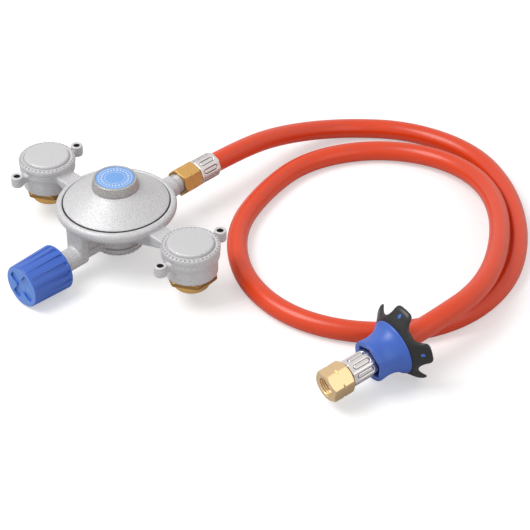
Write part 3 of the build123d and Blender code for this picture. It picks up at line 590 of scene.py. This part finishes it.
pod_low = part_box("left_pod_cover")[0].z / MM
for side, pod in (("left", left_pod), ("right", right_pod)):
    crown = pod_crown(side + "_crown", pod, pod_low)
    dress(crown, blasted, "casting", "regulator", side + "_pod_cover")

# %% [markdown]
# The cup under the housing is closed the same way, with coarser teeth round its foot.

# %% Crimped foot of the cup
foot_teeth, tooth_depth, tooth_top, tooth_root = 30, 0.7, 2.6, 15.5
foot_turn = angles(foot_teeth * 10)
foot_gap = np.clip((np.cos(foot_turn * foot_teeth) - 0.2) / 0.5, 0, 1)
foot_section = fill_in(soften([
    (0, 1.1, 0), (9.9, 1.1, 0.2), (10.0, 0.1, 0.2), (16.0, 0, 0.6), (16.6, 0.8, 0.4),
    (16.6, 3.4, 0.5), (16.0, 4.0, 0.2), (0, 4.0, 0)]), 0.6)
foot_rings = []
for radius, height in foot_section:
    if radius > tooth_root:
        radius = radius - tooth_depth * foot_gap * np.clip((tooth_top - height) / 0.8, 0, 1)
    foot_rings.append(ring(foot_turn, radius, height))
foot_place = seat((0, housing.y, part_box("bottom_cover")[0].z / MM))
cup_foot = skin("cup_foot", foot_rings, foot_place, crease=50)
dress(cup_foot, blasted, "casting", "regulator", "bottom_cover")

# %% [markdown]
# ## Hexagons cut by a lathe
#
# A brass nut starts as a hexagonal bar. The lathe cuts a cone off both ends, which
# leaves a curved edge on each flat, and a notch round the middle of the corners says
# that the thread is left-handed. At each height the ring is the hexagon or the cone,
# whichever lies further in, so the curved edges come by themselves.

# %% Hexagon and thread helpers
def hexagon(turn, flats, first_corner):
    """A hexagon's radius at each angle, with its corners just broken."""
    off_flat = (turn - math.radians(first_corner)) % (math.pi / 3) - math.pi / 6
    corner = flats / 2 / math.cos(math.pi / 6)
    return np.minimum(flats / 2 / np.cos(off_flat), corner * 0.985)


def cone_cut(flats, start, from_end, run):
    """The radius of the cone that the lathe cuts on a hexagon's end."""
    return start + (flats / 2 / math.cos(math.pi / 6) - start) * from_end / run


def thread(turn, height, crest, depth, pitch, hand):
    """A screw thread's radius at one height: a wave that climbs round the turn."""
    wave = (height / pitch - hand * turn / (2 * math.pi)) % 1
    return crest + depth * np.clip(1.25 * np.abs(2 * wave - 1) - 0.12, 0, 1)


# %% A union nut
nut_wall, hose_hole, nut_relief = 2.6, 3.96, 0.5
nut_thread_depth, nut_thread_pitch = 0.55, 1.34
head_seat = 5.85              # rear face to where the thread ends


def union_nut(name, place, flats, length, bore, first_corner):
    turn = angles(204)
    middle_radius = flats / 2
    groove_floor = cone_cut(flats, middle_radius, 0.35, 1)
    hexed = hexagon(turn, flats, first_corner)
    heights = sorted(set(np.round(np.concatenate([
        np.arange(0, 1.3, 0.13), np.arange(1.3, length - 1.3, 0.45),
        np.arange(length / 2 - 1.1, length / 2 + 1.15, 0.11),
        length - np.arange(0, 1.3, 0.13)]), 3)))
    rings = []
    for height in heights:
        cone = cone_cut(flats, middle_radius * 0.975, min(height, length - height), 1.15)
        notch = groove_floor + abs(height - length / 2) * 1.1
        rings.append(ring(turn, np.minimum(hexed, min(cone, notch)), height))
    back, head, relief = length - nut_wall, length - head_seat, bore + nut_relief
    rings += stack(turn, soften([
        (middle_radius - 0.4, length, 0), (hose_hole + 0.3, length, 0.1),
        (hose_hole, length - 0.3, 0.1), (hose_hole, back, 0.1), (relief, back, 0.1),
        (relief, head, 0)])[1:])
    for height in np.arange(head, 0.75, -0.14):
        fade = min(1.0, height - 0.7, (head - height) / 0.4 + 0.2)
        cut = thread(turn, height, bore, nut_thread_depth * fade, nut_thread_pitch, -1)
        rings.append(ring(turn, cut, height))
    rings += stack(turn, [(bore + 0.05, 0.7), (bore + 0.75, 0.02), (middle_radius - 0.7, 0.0)])
    return skin(name, rings, place, loop=True, crease=32)


outlet_union = union_nut("outlet_union", union_place, 17.0, 15.0, 6.55, 14.4)
dress(outlet_union, brass, "brass", "regulator", "outlet_nut")
swivel_union = union_nut("swivel_union", far_place, 18.0, 15.0, 5.9, nut_turn)
dress(swivel_union, pale_brass, "brass", "swivel_nut", "end_nut")

# %% [markdown]
# ## The cartridge connectors
#
# Under each pod sits a brass hexagon as wide as the pod, with a round boss below that
# holds the cartridge's thread. The same ring recipe makes it.

# %% Cartridge connectors
connector_flats, hex_low, hex_high = 29.0, 5.8, 10.4
cartridge_crest, cartridge_depth, cartridge_pitch, cartridge_end = 5.15, 0.4, 0.91, 7.0
connector_top, spigot_top, gas_hole = 8.95, 15.8, 2.0


def cartridge_connector(name, pod, low):
    turn = angles(216)
    hexed = hexagon(turn, connector_flats, 30)
    rings = stack(turn, soften([
        (5.9, 0, 0), (10.4, 0, 0.2), (11.4, 1.0, 0.4), (11.5, 2.0, 0.3), (11.5, 5.6, 0.2),
        (13.2, hex_low, 0)]))
    for height in (hex_low, 5.9, 6.05, 6.2, 6.4, 6.65, 6.9, 7.3, 8.2, 9.1, 9.5, 9.8, 10.0,
                   10.15, 10.3, hex_high):
        from_end = min(height - hex_low, hex_high - height)
        cone = cone_cut(connector_flats, connector_flats / 2 - 0.2, from_end, 1.1)
        rings.append(ring(turn, np.minimum(hexed, cone), height))
    rings += stack(turn, soften([
        (12.0, hex_high, 0), (connector_top, hex_high, 0.1), (connector_top, spigot_top, 0.3),
        (gas_hole, spigot_top, 0.1), (gas_hole, 10.66, 0.1), (4.65, 10.66, 0.1),
        (4.65, cartridge_end, 0.1), (cartridge_crest, cartridge_end, 0)]))
    for height in np.arange(cartridge_end - 0.1, 0.85, -0.11):
        fade = min(1.0, (height - 0.8) / 0.6, (cartridge_end - height) / 0.4)
        cut = thread(turn, height, cartridge_crest, cartridge_depth * fade, cartridge_pitch, 1)
        rings.append(ring(turn, cut, height))
    rings.append(ring(turn, 5.2, 0.75))
    return skin(name, rings, seat((pod.x, pod.y, low)), loop=True, crease=32)


def on_hexagon(x, y, z):
    """True on the six flats, which get darker brass as a painted reflection of shade."""
    return 6.9 < z < 9.6 and math.hypot(x, y) > 14.2


connector_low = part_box("left_connector")[0].z / MM
for side, pod in (("left", left_pod), ("right", right_pod)):
    connector = cartridge_connector(side + "_brass", pod, connector_low)
    dress(connector, brass, "brass", "regulator", side + "_connector")
    # The flats get the darker brass as a painted reflection of shade.
    part_finish(connector, brass_in_painted_shade, on_hexagon)

# %% [markdown]
# ## The outlet's thread
#
# Between the casting and the union nut a few turns of the outlet's thread show. They
# are cut finer than the solid's rings, as one left-handed wave round a short sleeve.

# %% Outlet thread
outlet_crest, outlet_depth, outlet_pitch = 6.52, 0.45, 1.05
turn = angles(160)
thread_rings = stack(turn, [(5.6, -4.4), (6.3, -4.4)])
for height in np.arange(-4.2, 0.9, 0.11):
    cut = outlet_depth * min(1.0, (height + 4.25) / 0.3)
    wave = thread(turn, height, outlet_crest - cut, cut, outlet_pitch, -1)
    thread_rings.append(ring(turn, wave, height))
thread_rings += stack(turn, [(6.3, 1.0), (5.6, 1.0)])
outlet_thread = skin("outlet_thread", thread_rings, union_place, loop=True, crease=60)
dress(outlet_thread, capped, "casting", "regulator")

# %% [markdown]
# ## Crimped ferrules
#
# A press with eight jaws squeezes each ferrule onto the hose, so it ends up with
# eight flats, and each jaw leaves the outline of a long slot in its flat. The outline
# is measured as the distance from a racetrack curve, and the ring dips where that
# distance is small.

# %% A ferrule with eight pressed flats
ferrule_length, ferrule_flats, ferrule_corner = 17.0, 7.9, 8.42
track_reach, track_radius, press_depth, press_width = 4.1, 1.45, 0.34, 0.3
hose_socket, tail_hole, ferrule_lip = 6.72, 3.98, 1.4


def from_track(turn, height, first_corner):
    """Distance from the racetrack outline in the middle of the nearest flat."""
    off_flat = (turn - math.radians(first_corner)) % (math.pi / 4) - math.pi / 8
    past = np.maximum(np.abs(height - ferrule_length / 2) - track_reach, 0)
    return np.abs(np.hypot(past, off_flat * ferrule_flats) - track_radius)


def end_round(from_end, over, depth):
    """How far the wall turns in at this distance from an end."""
    return depth * (1 - math.sqrt(1 - max(0.0, 1 - from_end / over) ** 2))


def ferrule(name, place, first_corner):
    turn = angles(8 * 36)
    off_flat = (turn - math.radians(first_corner)) % (math.pi / 4) - math.pi / 8
    flat = ferrule_flats / np.cos(off_flat)
    blend = 90
    body = (flat ** -blend + ferrule_corner ** -blend) ** (-1 / blend)
    rings = []
    heights = np.concatenate([
        [0.0, 0.1, 0.25, 0.45, 0.7, 1.0], np.arange(1.3, ferrule_length - 0.8, 0.17),
        ferrule_length - np.array([0.7, 0.45, 0.2, 0.08, 0.0])])
    for height in heights:
        off_track = from_track(turn, height, first_corner)
        groove = press_depth * np.exp(-(off_track / press_width) ** 2)
        front = end_round(height, 1.0, 1.0)
        rear = end_round(ferrule_length - height, 0.7, 0.5)
        rings.append(ring(turn, body - groove - front - rear, height))
    rings += stack(turn, soften([
        (7.2, ferrule_length, 0), (hose_socket, ferrule_length, 0.1),
        (hose_socket, ferrule_lip, 0.1), (tail_hole, ferrule_lip, 0.1), (tail_hole, 0.0, 0.1),
        (6.2, 0.0, 0)]))
    return skin(name, rings, place, loop=True, crease=40)


def press_lines(first_corner):
    """A test for the faces at the bottom of a ferrule's pressed outlines."""
    def inside(x, y, z):
        near = from_track(math.atan2(y, x) % (2 * math.pi), z, first_corner) < 0.2
        return near and 1.0 < z < ferrule_length - 0.8 and math.hypot(x, y) > 7.3
    return inside


def crimped(end, place, first_corner):
    """The ferrule of one end of the hose, with painted shade in its press lines."""
    piece = ferrule(end + "_crimp", place, first_corner)
    dress(piece, plated, "plated_steel", "regulator", end + "_ferrule")
    # The press lines get the painted shade.
    part_finish(piece, painted_shade, press_lines(first_corner))
    return piece


ferrule_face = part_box("outlet_ferrule")[0].y / MM
end_crimp_start = 15.6
crimped("outlet", seat((0, ferrule_face, union_height), (0, 1, 0)), 0.0)
end_crimp = crimped("end", seat(far_mouth + far_along * end_crimp_start, far_along, far_across), 8)

# %% [markdown]
# ## The shut-off knob
#
# A tapered blue moulding. Its grip slots have floors that run level with the axis, so
# they are shallow at the nose and deep at the rim. One stack of rings goes over the
# face, along the outside, round the rim, back inside and down the bore that drives the
# spindle, with its one flat.

# %% Face and outside of the knob
grips, grip_turn, slot_half, slot_reach = 16, 6.0, 1.4, 11.9
knob_turn = angles(grips * 24)
grip_step = 2 * math.pi / grips
slot_off = (knob_turn - math.radians(grip_turn) + grip_step / 2) % grip_step - grip_step / 2
nose_radius, rim_radius, knob_length, slot_floor = 13.9, 15.0, 29.0, 13.75
recess_depth, face_wall, drive_hub, drive_mouth = 1.3, 2.4, 5.6, 21.7

recess = 7.7 + 3.0 * np.clip(1.7 * np.cos(4 * (knob_turn - math.radians(125))), -1, 1)
knob_rings = [ring(knob_turn, 0, recess_depth)]
for share in (0.25, 0.5, 0.75, 0.9, 0.97):
    knob_rings.append(ring(knob_turn, recess * share, recess_depth))
for step_out, height in ((0.0, recess_depth - 0.03), (0.04, recess_depth - 0.15), (0.1, 0.2),
                         (0.16, 0.06), (0.3, 0.0)):
    knob_rings.append(ring(knob_turn, recess + step_out, height))
knob_rings.append(ring(knob_turn, (recess + 0.6 + 12.4) / 2, 0.0))
knob_rings += stack(knob_turn, soften([
    (12.3, 0.0, 0), (nose_radius - 0.02, 0.0, 1.3), (nose_radius + 0.06, 1.6, 0)], steps=8))
for height in np.arange(1.8, 28.4, 0.3):
    taper = nose_radius + (rim_radius - nose_radius) * height / knob_length
    past = max(abs(height - knob_length / 2) - slot_reach, 0.0)
    inside = slot_half - np.hypot(past, slot_off * taper)
    sunk = np.clip(inside / 0.3 + 0.5, 0, 1)
    knob_rings.append(ring(knob_turn, taper - sunk * (taper - slot_floor), height))
knob_rings += stack(knob_turn, soften([
    (rim_radius - 0.03, 28.4, 0), (rim_radius, knob_length, 0.5), (13.0, knob_length, 0.4),
    (12.0, face_wall, 0.5), (drive_hub, face_wall, 0.4), (drive_hub, drive_mouth, 0.3),
    (3.4, drive_mouth, 0)]))

# %% The D-shaped drive bore, and the knob's skin
drive_radius, drive_flat, out_of_reach = 3.06, 2.26, 99
with np.errstate(divide="ignore"):
    to_flat = np.where(np.sin(knob_turn) < -1e-6, drive_flat / -np.sin(knob_turn), out_of_reach)
drive = np.minimum(drive_radius, to_flat)
knob_rings += stack(knob_turn, [
    (drive + 0.2, drive_mouth), (drive, drive_mouth - 0.3), (drive, face_wall + 0.1),
    (drive * 0.9, face_wall), (0, face_wall)])
knob = skin("knob", knob_rings, knob_place, crease=42)
dress(knob, blue, "blue_plastic", "shut_off_knob", "valve_knob")
# The knob's front face and recess floor get the lighter blue as painted light.
part_finish(knob, blue_in_painted_light, lambda x, y, z: z < 0.05 and math.hypot(x, y) < 13.3)
part_finish(knob, blue_in_painted_light, lambda x, y, z: (
    recess_depth - 0.02 < z < 1.3 and math.hypot(x, y) < 11))

# %% [markdown]
# ## The hand wheel
#
# The hand wheel slides over the nut, so that the union can be done up without a
# spanner. Its blue sleeve is a trumpet outside and a hexagon socket inside. Its black
# star has five arms that lean back like the petals of a flower, and a small blue peg
# in each arm locks the two together.

# %% Trumpet and socket of the sleeve
def bezier(a, b, c, d, count):
    a, b, c, d = (np.array(p) for p in (a, b, c, d))
    return [tuple(a * (1 - t) ** 3 + 3 * b * t * (1 - t) ** 2 + 3 * c * t * t * (1 - t)
                  + d * t ** 3) for t in np.linspace(0, 1, count)]


wheel_start, sleeve_length, flange_radius, hub_depth = 31.5, 18.6, 17.2, 7.0
socket_flats, socket_end, hose_clear, hub_radius = 18.6, 14.5, 8.8, 12.05
wheel_place = seat(far_mouth + far_along * wheel_start, far_along, far_across)
hub_end = sleeve_length + hub_depth
turn = angles(216)
socket = hexagon(turn, socket_flats, nut_turn)
outside = soften([(11.7, 0, 0), (13.0, 0, 0.8), (13.15, 1.0, 0)], steps=6)
outside += bezier((13.15, 1.0), (13.0, 3.6), (12.35, 5.5), (12.6, 8.0), 12)[1:]
outside += bezier((12.6, 8.0), (12.9, 11.6), (14.6, 15.4), (flange_radius - 0.25, 17.3), 16)[1:]
flange_back = sleeve_length - 0.05
outside += soften([
    (flange_radius - 0.25, 17.3, 0), (flange_radius, 17.8, 0.3),
    (flange_radius, flange_back, 0.3), (hub_radius, flange_back, 0.1), (12.0, hub_end, 0.3),
    (hose_clear, hub_end, 0.4), (hose_clear, socket_end, 0)])[1:]
six_sided = np.cos(6 * (turn - math.radians(nut_turn)))
facet_depth, facet_length = 0.22, 17.0
sleeve_rings = []
for radius, height in outside:
    along = min(max(height / facet_length, 0), 1)
    facet = facet_depth * math.sin(math.pi * along) ** 2 if radius > 12.1 else 0.0
    sleeve_rings.append(ring(turn, radius + facet * six_sided, height))
sleeve_rings += stack(turn, [
    (socket - 0.1, socket_end), (socket, 14.3), (socket, 7.0), (socket, 0.9),
    (socket + 0.15, 0.35), (socket + 0.5, 0.02)])
sleeve = skin("sleeve", sleeve_rings, wheel_place, loop=True, crease=35)
dress(sleeve, blue, "blue_plastic", "hand_wheel", "wheel_sleeve")

# %% [markdown]
# The star's outline is drawn flat first. Five round valleys bite into a disc, and what
# they leave are the arms. A second step lifts each point onto the leaning face: the
# further out it lies, the further back it goes.

# %% Outline of the five-armed star
arms, arm_turn, arm_tip, valley_centre, valley_radius = 5, 21.5, 25.3, 30.6, 11.3
arm_step = 2 * math.pi / arms
half_valley = math.acos(
    (valley_centre ** 2 + arm_tip ** 2 - valley_radius ** 2) / (2 * valley_centre * arm_tip))
tip_share, valley_share, turn_points = 0.55, 0.82, 6


def round_turn(start, corner, end):
    """Points strictly between start and end, on the curve that rounds the corner."""
    a, b, c = (np.array(p) for p in (start, corner, end))
    return [tuple(a * (1 - t) ** 2 + b * 2 * t * (1 - t) + c * t * t)
            for t in np.linspace(0, 1, turn_points + 2)[1:-1]]


def on_tip(angle):
    return (arm_tip * math.cos(angle), arm_tip * math.sin(angle))


def star_outline():
    """The star's edge, arm by arm, with the arms' corners rounded."""
    edge = []
    spread = arm_step / 2 - half_valley
    for arm in range(arms):
        centre_line = math.radians(arm_turn) + arm_step * arm
        half_tip = spread * tip_share
        tip = [on_tip(centre_line + a) for a in np.linspace(-half_tip, half_tip, 11)]
        corner, next_corner = centre_line + spread, centre_line + arm_step - spread
        valley_line = centre_line + arm_step / 2
        centre = valley_centre * np.array([math.cos(valley_line), math.sin(valley_line)])
        first = np.array(on_tip(corner)) - centre
        half_sweep = math.acos(-first @ centre / valley_radius / valley_centre)
        swept = valley_line + math.pi + np.linspace(valley_share, -valley_share, 34) * half_sweep
        valley = [tuple(centre + valley_radius * np.array([math.cos(a), math.sin(a)]))
                  for a in swept]
        edge += tip + round_turn(tip[-1], on_tip(corner), valley[0]) + valley
        next_tip = on_tip(centre_line + arm_step - half_tip)
        edge += round_turn(valley[-1], on_tip(next_corner), next_tip)
    return np.array(edge)


star_edge = star_outline()
print("star outline:", len(star_edge), "points, reaches",
      round(np.linalg.norm(star_edge, axis=1).max(), 2), "mm")

# %% Star with rounded edges
lean, star_wall, edge_round = 0.95, 2.9, 1.35


def inset(edge, amount):
    """The outline moved inward, square to itself."""
    ahead, behind = np.roll(edge, -1, axis=0), np.roll(edge, 1, axis=0)
    run = ahead - behind
    outward = np.stack([run[:, 1], -run[:, 0]], axis=1) / np.linalg.norm(run, axis=1)[:, None]
    return edge - outward * amount


def leaning(flat, height):
    """Lifts a flat ring onto the star's leaning face, so much behind its front."""
    behind = lean * np.maximum(np.linalg.norm(flat, axis=1) - flange_radius, 0)
    return np.column_stack([flat, sleeve_length + height + behind])


star_angle = np.arctan2(star_edge[:, 1], star_edge[:, 0])


def hub_ring(radius, height):
    return leaning(ring(star_angle, radius, 0)[:, :2], height)


face_edge = inset(star_edge, edge_round)
face_start = ring(star_angle, flange_radius, 0)[:, :2]
quarter = [math.pi / 2 * step / 7 for step in range(8)]
rim = [(edge_round * (1 - math.sin(a)), edge_round * (1 - math.cos(a))) for a in quarter]
rim += [(height, star_wall - amount) for amount, height in rim]
under_flange, hub_bore = flange_radius - 0.3, 15.0


def face_rings(shares, height):
    """Rings from the flange out to the arms, or back, on one face of the star."""
    return [leaning(face_start * (1 - s) + face_edge * s, height) for s in shares]


star_rings = [hub_ring(hub_radius, 0), hub_ring(under_flange, 0)]
star_rings += face_rings((0.0, 0.35, 0.7, 0.9), 0)
star_rings += [leaning(inset(star_edge, amount), height) for amount, height in rim]
star_rings += face_rings((0.9, 0.7, 0.35, 0.0), star_wall)
star_rings += [hub_ring(radius, height) for radius, height in soften([
    (under_flange, star_wall, 0), (hub_bore, star_wall, 0.6), (hub_bore, hub_depth, 0.7),
    (hub_radius, hub_depth, 0)])]
star = skin("star", star_rings, wheel_place, loop=True, crease=50)
dress(star, black, "black_plastic", "hand_wheel", "wheel_star")

# %% Blue pegs, one in each arm
peg_circle, peg_radius, peg_length = 22.4, 1.1, 2.8


def peg(index):
    """A peg whose head follows the leaning arm; its local x points outward."""
    place = wheel_place @ Matrix.Rotation(math.radians(arm_turn) + arm_step * index, 4, "Z")
    place = place @ Matrix.Translation(Vector((peg_circle, 0, 0)) * MM)
    low = sleeve_length + lean * (peg_circle - flange_radius)
    turn = angles(32)
    rings = []
    for radius, height in ((0, -0.14), (0.5, -0.13), (0.8, -0.1), (1.0, -0.02),
                           (peg_radius, 0.1), (peg_radius, peg_length), (0, peg_length)):
        flat = np.atleast_2d(ring(turn, radius, low + height))
        flat[:, 2] += lean * flat[:, 0]
        rings.append(flat)
    return skin("peg_" + str(index + 1), rings, place)


pegs = [peg(index) for index in range(arms)]
for index, one in enumerate(pegs):
    dress(one, blue, "blue_plastic", "hand_wheel", *(["wheel_pegs"] if index == 0 else []))

# %% [markdown]
# ## The blue disc on the cap
#
# A thin printed disc lies in the cap's recess. Its print is plain: a white ring near
# the edge and short white bars between two circles, worked out from the distance to
# the middle and the angle round it, so it stays sharp at any size.

# %% A plain print over a finish
def print_on(material, source, output, pattern, ink):
    """Prints in ink over a finish. The pattern takes the maths and x and y of a place."""
    tree = material.node_tree
    base = tree.nodes["Principled BSDF"].inputs["Base Color"]
    parts = tree.nodes.new("ShaderNodeSeparateXYZ")
    tree.links.new(tree.nodes.new(source).outputs[output], parts.inputs[0])
    printed = pattern(sums(tree), parts.outputs["X"], parts.outputs["Y"])
    tree.links.new(mix_colours(tree, printed, base.links[0].from_socket, ink), base)
    print(material.name, "is printed")

# %% Printed disc
bar_count, print_strength, print_white = 26.0, 0.75, (0.78, 0.80, 0.84)


def rings_and_bars(calc, x, y):
    """A ring, short bars between two circles and an inner ring, in metres."""
    from_middle = calc("SQRT", calc("ADD", calc("MULTIPLY", x, x), calc("MULTIPLY", y, y)))

    def band(radius_mm, half_width_mm):
        """One inside a band round the middle, nought outside."""
        off = calc("ABSOLUTE", calc("SUBTRACT", from_middle, radius_mm * MM))
        return calc("LESS_THAN", off, half_width_mm * MM)

    wave = calc("SINE", calc("MULTIPLY", calc("ARCTAN2", y, x), bar_count))
    bars = calc("MULTIPLY", calc("GREATER_THAN", wave, 0.1), band(8.6, 0.75))
    printed = calc("MAXIMUM", calc("MAXIMUM", bars, band(10.6, 0.18)), band(6.4, 0.14))
    return calc("MULTIPLY", printed, print_strength)


disc_blue = finish("printed disc", (0.150, 0.340, 0.720), (0.180, 0.390, 0.780),
                   (0.27, 0.48, 0.86), metal=0.0, rough=0.38, size=0.5, contrast=0.5,
                   bump_mm=0.01)
print_on(disc_blue, "ShaderNodeTexCoord", "Object", rings_and_bars, print_white)
disc_radius, disc_low, disc_high = 12.3, 56.8, 57.4
disc = turned("disc", [(0, disc_low, 0), (disc_radius, disc_low, 0),
                       (disc_radius, disc_high, 0.15), (0, disc_high, 0)], upright, sides=160)
dress(disc, disc_blue, "label", "regulator", "label_disc")

# %% [markdown]
# ## The hose
#
# Extruded rubber hose is round and smooth, with a slight gloss. A mesh tube shows its
# surface best: a ring of points is carried along the line and turned as little as
# possible at each step, so the print along it doesn't wind round. The line is the one
# drawn at the start.

# %% Carry a ring along the line
def tube(name, line, radius, sides=48):
    """A tube round a line, with its length and its turn kept as UV."""
    heading = (line[1] - line[0]).normalized()
    up = Vector((0, 0, 1))
    up = (up - heading * up.dot(heading)).normalized()
    corners, lengths, gone = [], [], 0.0
    for i, here in enumerate(line):
        onward = (line[min(i + 1, len(line) - 1)] - line[max(i - 1, 0)]).normalized()
        up = heading.rotation_difference(onward) @ up
        heading = onward
        out = heading.cross(up)
        gone += (here - line[i - 1]).length if i else 0.0
        lengths.append(gone)
        corners += [here + (up * math.cos(a) + out * math.sin(a)) * radius for a in angles(sides)]
    faces = []
    for start in range(0, (len(line) - 1) * sides, sides):
        for j in range(sides):
            k = (j + 1) % sides
            faces.append([start + j, start + k, start + sides + k, start + sides + j])
    faces += [list(range(sides))[::-1], [(len(line) - 1) * sides + j for j in range(sides)]]
    mesh = bpy.data.meshes.new(name)
    mesh.from_pydata([tuple(c) for c in corners], [], faces)
    uv = mesh.uv_layers.new(name="along")
    for face in mesh.polygons[:-2]:
        i, j = divmod(face.index, sides)
        ends = ((i, j), (i, j + 1), (i + 1, j + 1), (i + 1, j))
        for loop, (a, b) in zip(face.loop_indices, ends):
            uv.data[loop].uv = (lengths[a], b / sides)
    piece = add_object(name, mesh)
    finish_skin(piece, 60)
    return piece


hose = tube("gas_hose", hose_line, hose_diameter / 2 * MM)

# %% Rubber with a plain printed line
dash_step, dash_share, group_step, group_share = 7.0, 0.55, 84.0, 0.62
line_place, line_half, line_strength = 0.12, 0.018, 0.35


def dashes(calc, along, around):
    """Groups of plain dashes along one side, from metres along and the share of a turn."""
    def repeats(step_mm, share):
        """One over the first share of every step along the hose."""
        gone = calc("FRACT", calc("MULTIPLY", along, MM_IN_M / step_mm))
        return calc("LESS_THAN", gone, share)

    groups = calc("MULTIPLY", repeats(dash_step, dash_share), repeats(group_step, group_share))
    beside = calc("ABSOLUTE", calc("SUBTRACT", around, line_place))
    printed = calc("MULTIPLY", groups, calc("LESS_THAN", beside, line_half))
    return calc("MULTIPLY", printed, line_strength)


rubber = finish("orange rubber", (0.700, 0.048, 0.006), (0.800, 0.062, 0.009),
                (0.86, 0.12, 0.03), metal=0.0, rough=0.3, size=0.9, contrast=0.9,
                bump_mm=0.02, edge_amount=0.15)
print_on(rubber, "ShaderNodeUVMap", "UV", dashes, (0.36, 0.10, 0.10))
dress(hose, rubber, "hose_rubber", "regulator", "hose")

# %% [markdown]
# ## The solids that stay
#
# Seats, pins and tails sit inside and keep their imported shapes. They still get a true
# finish, because the part may be opened up or seen from below.

# %% Finishes for the inner parts
paint(brass, "outlet_tail", "end_tail", "gland_nut", "valve_spindle", "inlet_nozzle",
      "adjusting_screw", "diaphragm_stem", "left_check_disc", "right_check_disc",
      "left_opener_pin", "right_opener_pin")
paint(steel, "lever", "lever_pin", "diaphragm_plate")
paint(nitrile, "diaphragm", "lever_pad", "spindle_pad", "spindle_ring", "left_gasket",
      "right_gasket")

# %% [markdown]
# ## Coil springs
#
# Three coil springs inside press on pieces that lift: the setting spring on the
# diaphragm's plate, and one small spring on each check disc. Each coil is drawn anew
# in the place of its spring's solid.


def coil_spring(name, node, wire, turns):
    """A coil in the place of a spring's solid."""
    low, high = (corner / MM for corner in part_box(node))
    axis, reach, tall = (low + high) / 2, (high.x - low.x - wire) / 2, high.z - low.z
    steps = turns * 32
    line = []
    for k in range(steps + 1):
        a = 2 * math.pi * turns * k / steps
        height = low.z + wire / 2 + (tall - wire) * k / steps
        line.append(Vector((axis.x + reach * math.cos(a), axis.y + reach * math.sin(a),
                            height)) * MM)
    coil = tube(name, line, wire / 2 * MM, sides=16)
    dress(coil, steel, "steel", "regulator", node)
    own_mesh(coil)
    print(name, round(tall, 2), "mm tall")


coil_spring("setting_coil", "main_spring", wire=1.4, turns=4)
for side in ("left", "right"):
    coil_spring(side + "_check_coil", side + "_check_spring", wire=0.8, turns=5)

# %% [markdown]
# ## Floor and light
#
# The floor is a pale studio sweep. Its own diffuse colour takes the object's shadow,
# and where the camera looks at it, a little light of its own brings it to white. The
# world is plain grey as a light, and white where the camera, a reflection or glass
# looks at it, so metal shows a white room. A large soft lamp from above shapes the
# parts, and a weak one from the right fills.

# %% Floor
floor_glow = 0.44


def seen_by(tree, *kinds):
    """One where a ray of any of these kinds arrives, nought elsewhere."""
    rays = tree.nodes.new("ShaderNodeLightPath")
    seen, calc = rays.outputs[kinds[0]], sums(tree)
    for kind in kinds[1:]:
        seen = calc("MAXIMUM", seen, rays.outputs[kind])
    return seen


def white_stage(name):
    """A pale surface that the camera sees as near white."""
    material = bpy.data.materials.new(name)
    material.use_nodes = True
    tree = material.node_tree
    shader = tree.nodes["Principled BSDF"]
    shader.inputs["Base Color"].default_value = (0.66, 0.66, 0.66, 1)
    shader.inputs["Roughness"].default_value = 0.9
    shader.inputs["Emission Color"].default_value = (1, 1, 1, 1)
    seen = seen_by(tree, "Is Camera Ray", "Is Transmission Ray")
    tree.links.new(sums(tree)("MULTIPLY", seen, floor_glow), shader.inputs["Emission Strength"])
    return material


floor_mesh = bpy.data.meshes.new("floor")
half = 6.0                    # metres
floor_mesh.from_pydata([(-half, -half, 0), (half, -half, 0), (half, half, 0), (-half, half, 0)],
                       [], [(0, 1, 2, 3)])
floor = add_object("floor", floor_mesh)
floor.data.materials.append(white_stage("pale floor"))

# %% World
world = bpy.data.worlds.new("studio")
world.use_nodes = True
bpy.context.scene.world = world
tree = world.node_tree


def backdrop(node, strength):
    """A white background of one strength."""
    node.inputs["Color"].default_value = (1, 1, 1, 1)
    node.inputs["Strength"].default_value = strength
    return node


soft_light = backdrop(tree.nodes["Background"], 0.5)
white_back = backdrop(tree.nodes.new("ShaderNodeBackground"), 1.0)
chosen = tree.nodes.new("ShaderNodeMixShader")
seen = seen_by(tree, "Is Camera Ray", "Is Glossy Ray", "Is Transmission Ray")
for source, socket in ((seen, 0), (soft_light.outputs[0], 1), (white_back.outputs[0], 2)):
    tree.links.new(source, chosen.inputs[socket])
tree.links.new(chosen.outputs[0], tree.nodes["World Output"].inputs["Surface"])

# %% Lamps
def soft_lamp(name, place, aim, width, power):
    lamp_data = bpy.data.lights.new(name, "AREA")
    lamp_data.shape = "SQUARE"
    lamp_data.size = width
    lamp_data.energy = power
    lamp = add_object(name, lamp_data)
    lamp.rotation_euler = (Vector(aim) - Vector(place)).to_track_quat("-Z", "Y").to_euler()
    lamp.location = place
    print(name, "lamp of", power, "W")


soft_lamp("key", (-0.35, -0.55, 1.20), (0.08, 0.08, 0), width=0.8, power=13.0)
soft_lamp("fill", (1.20, 0.10, 0.70), (0.10, 0.05, 0), width=0.9, power=2.0)

# %% [markdown]
# ## Colour
#
# The plain colour transform shows each colour as it was written.

# %% Finish
bpy.context.scene.view_settings.view_transform = "Standard"
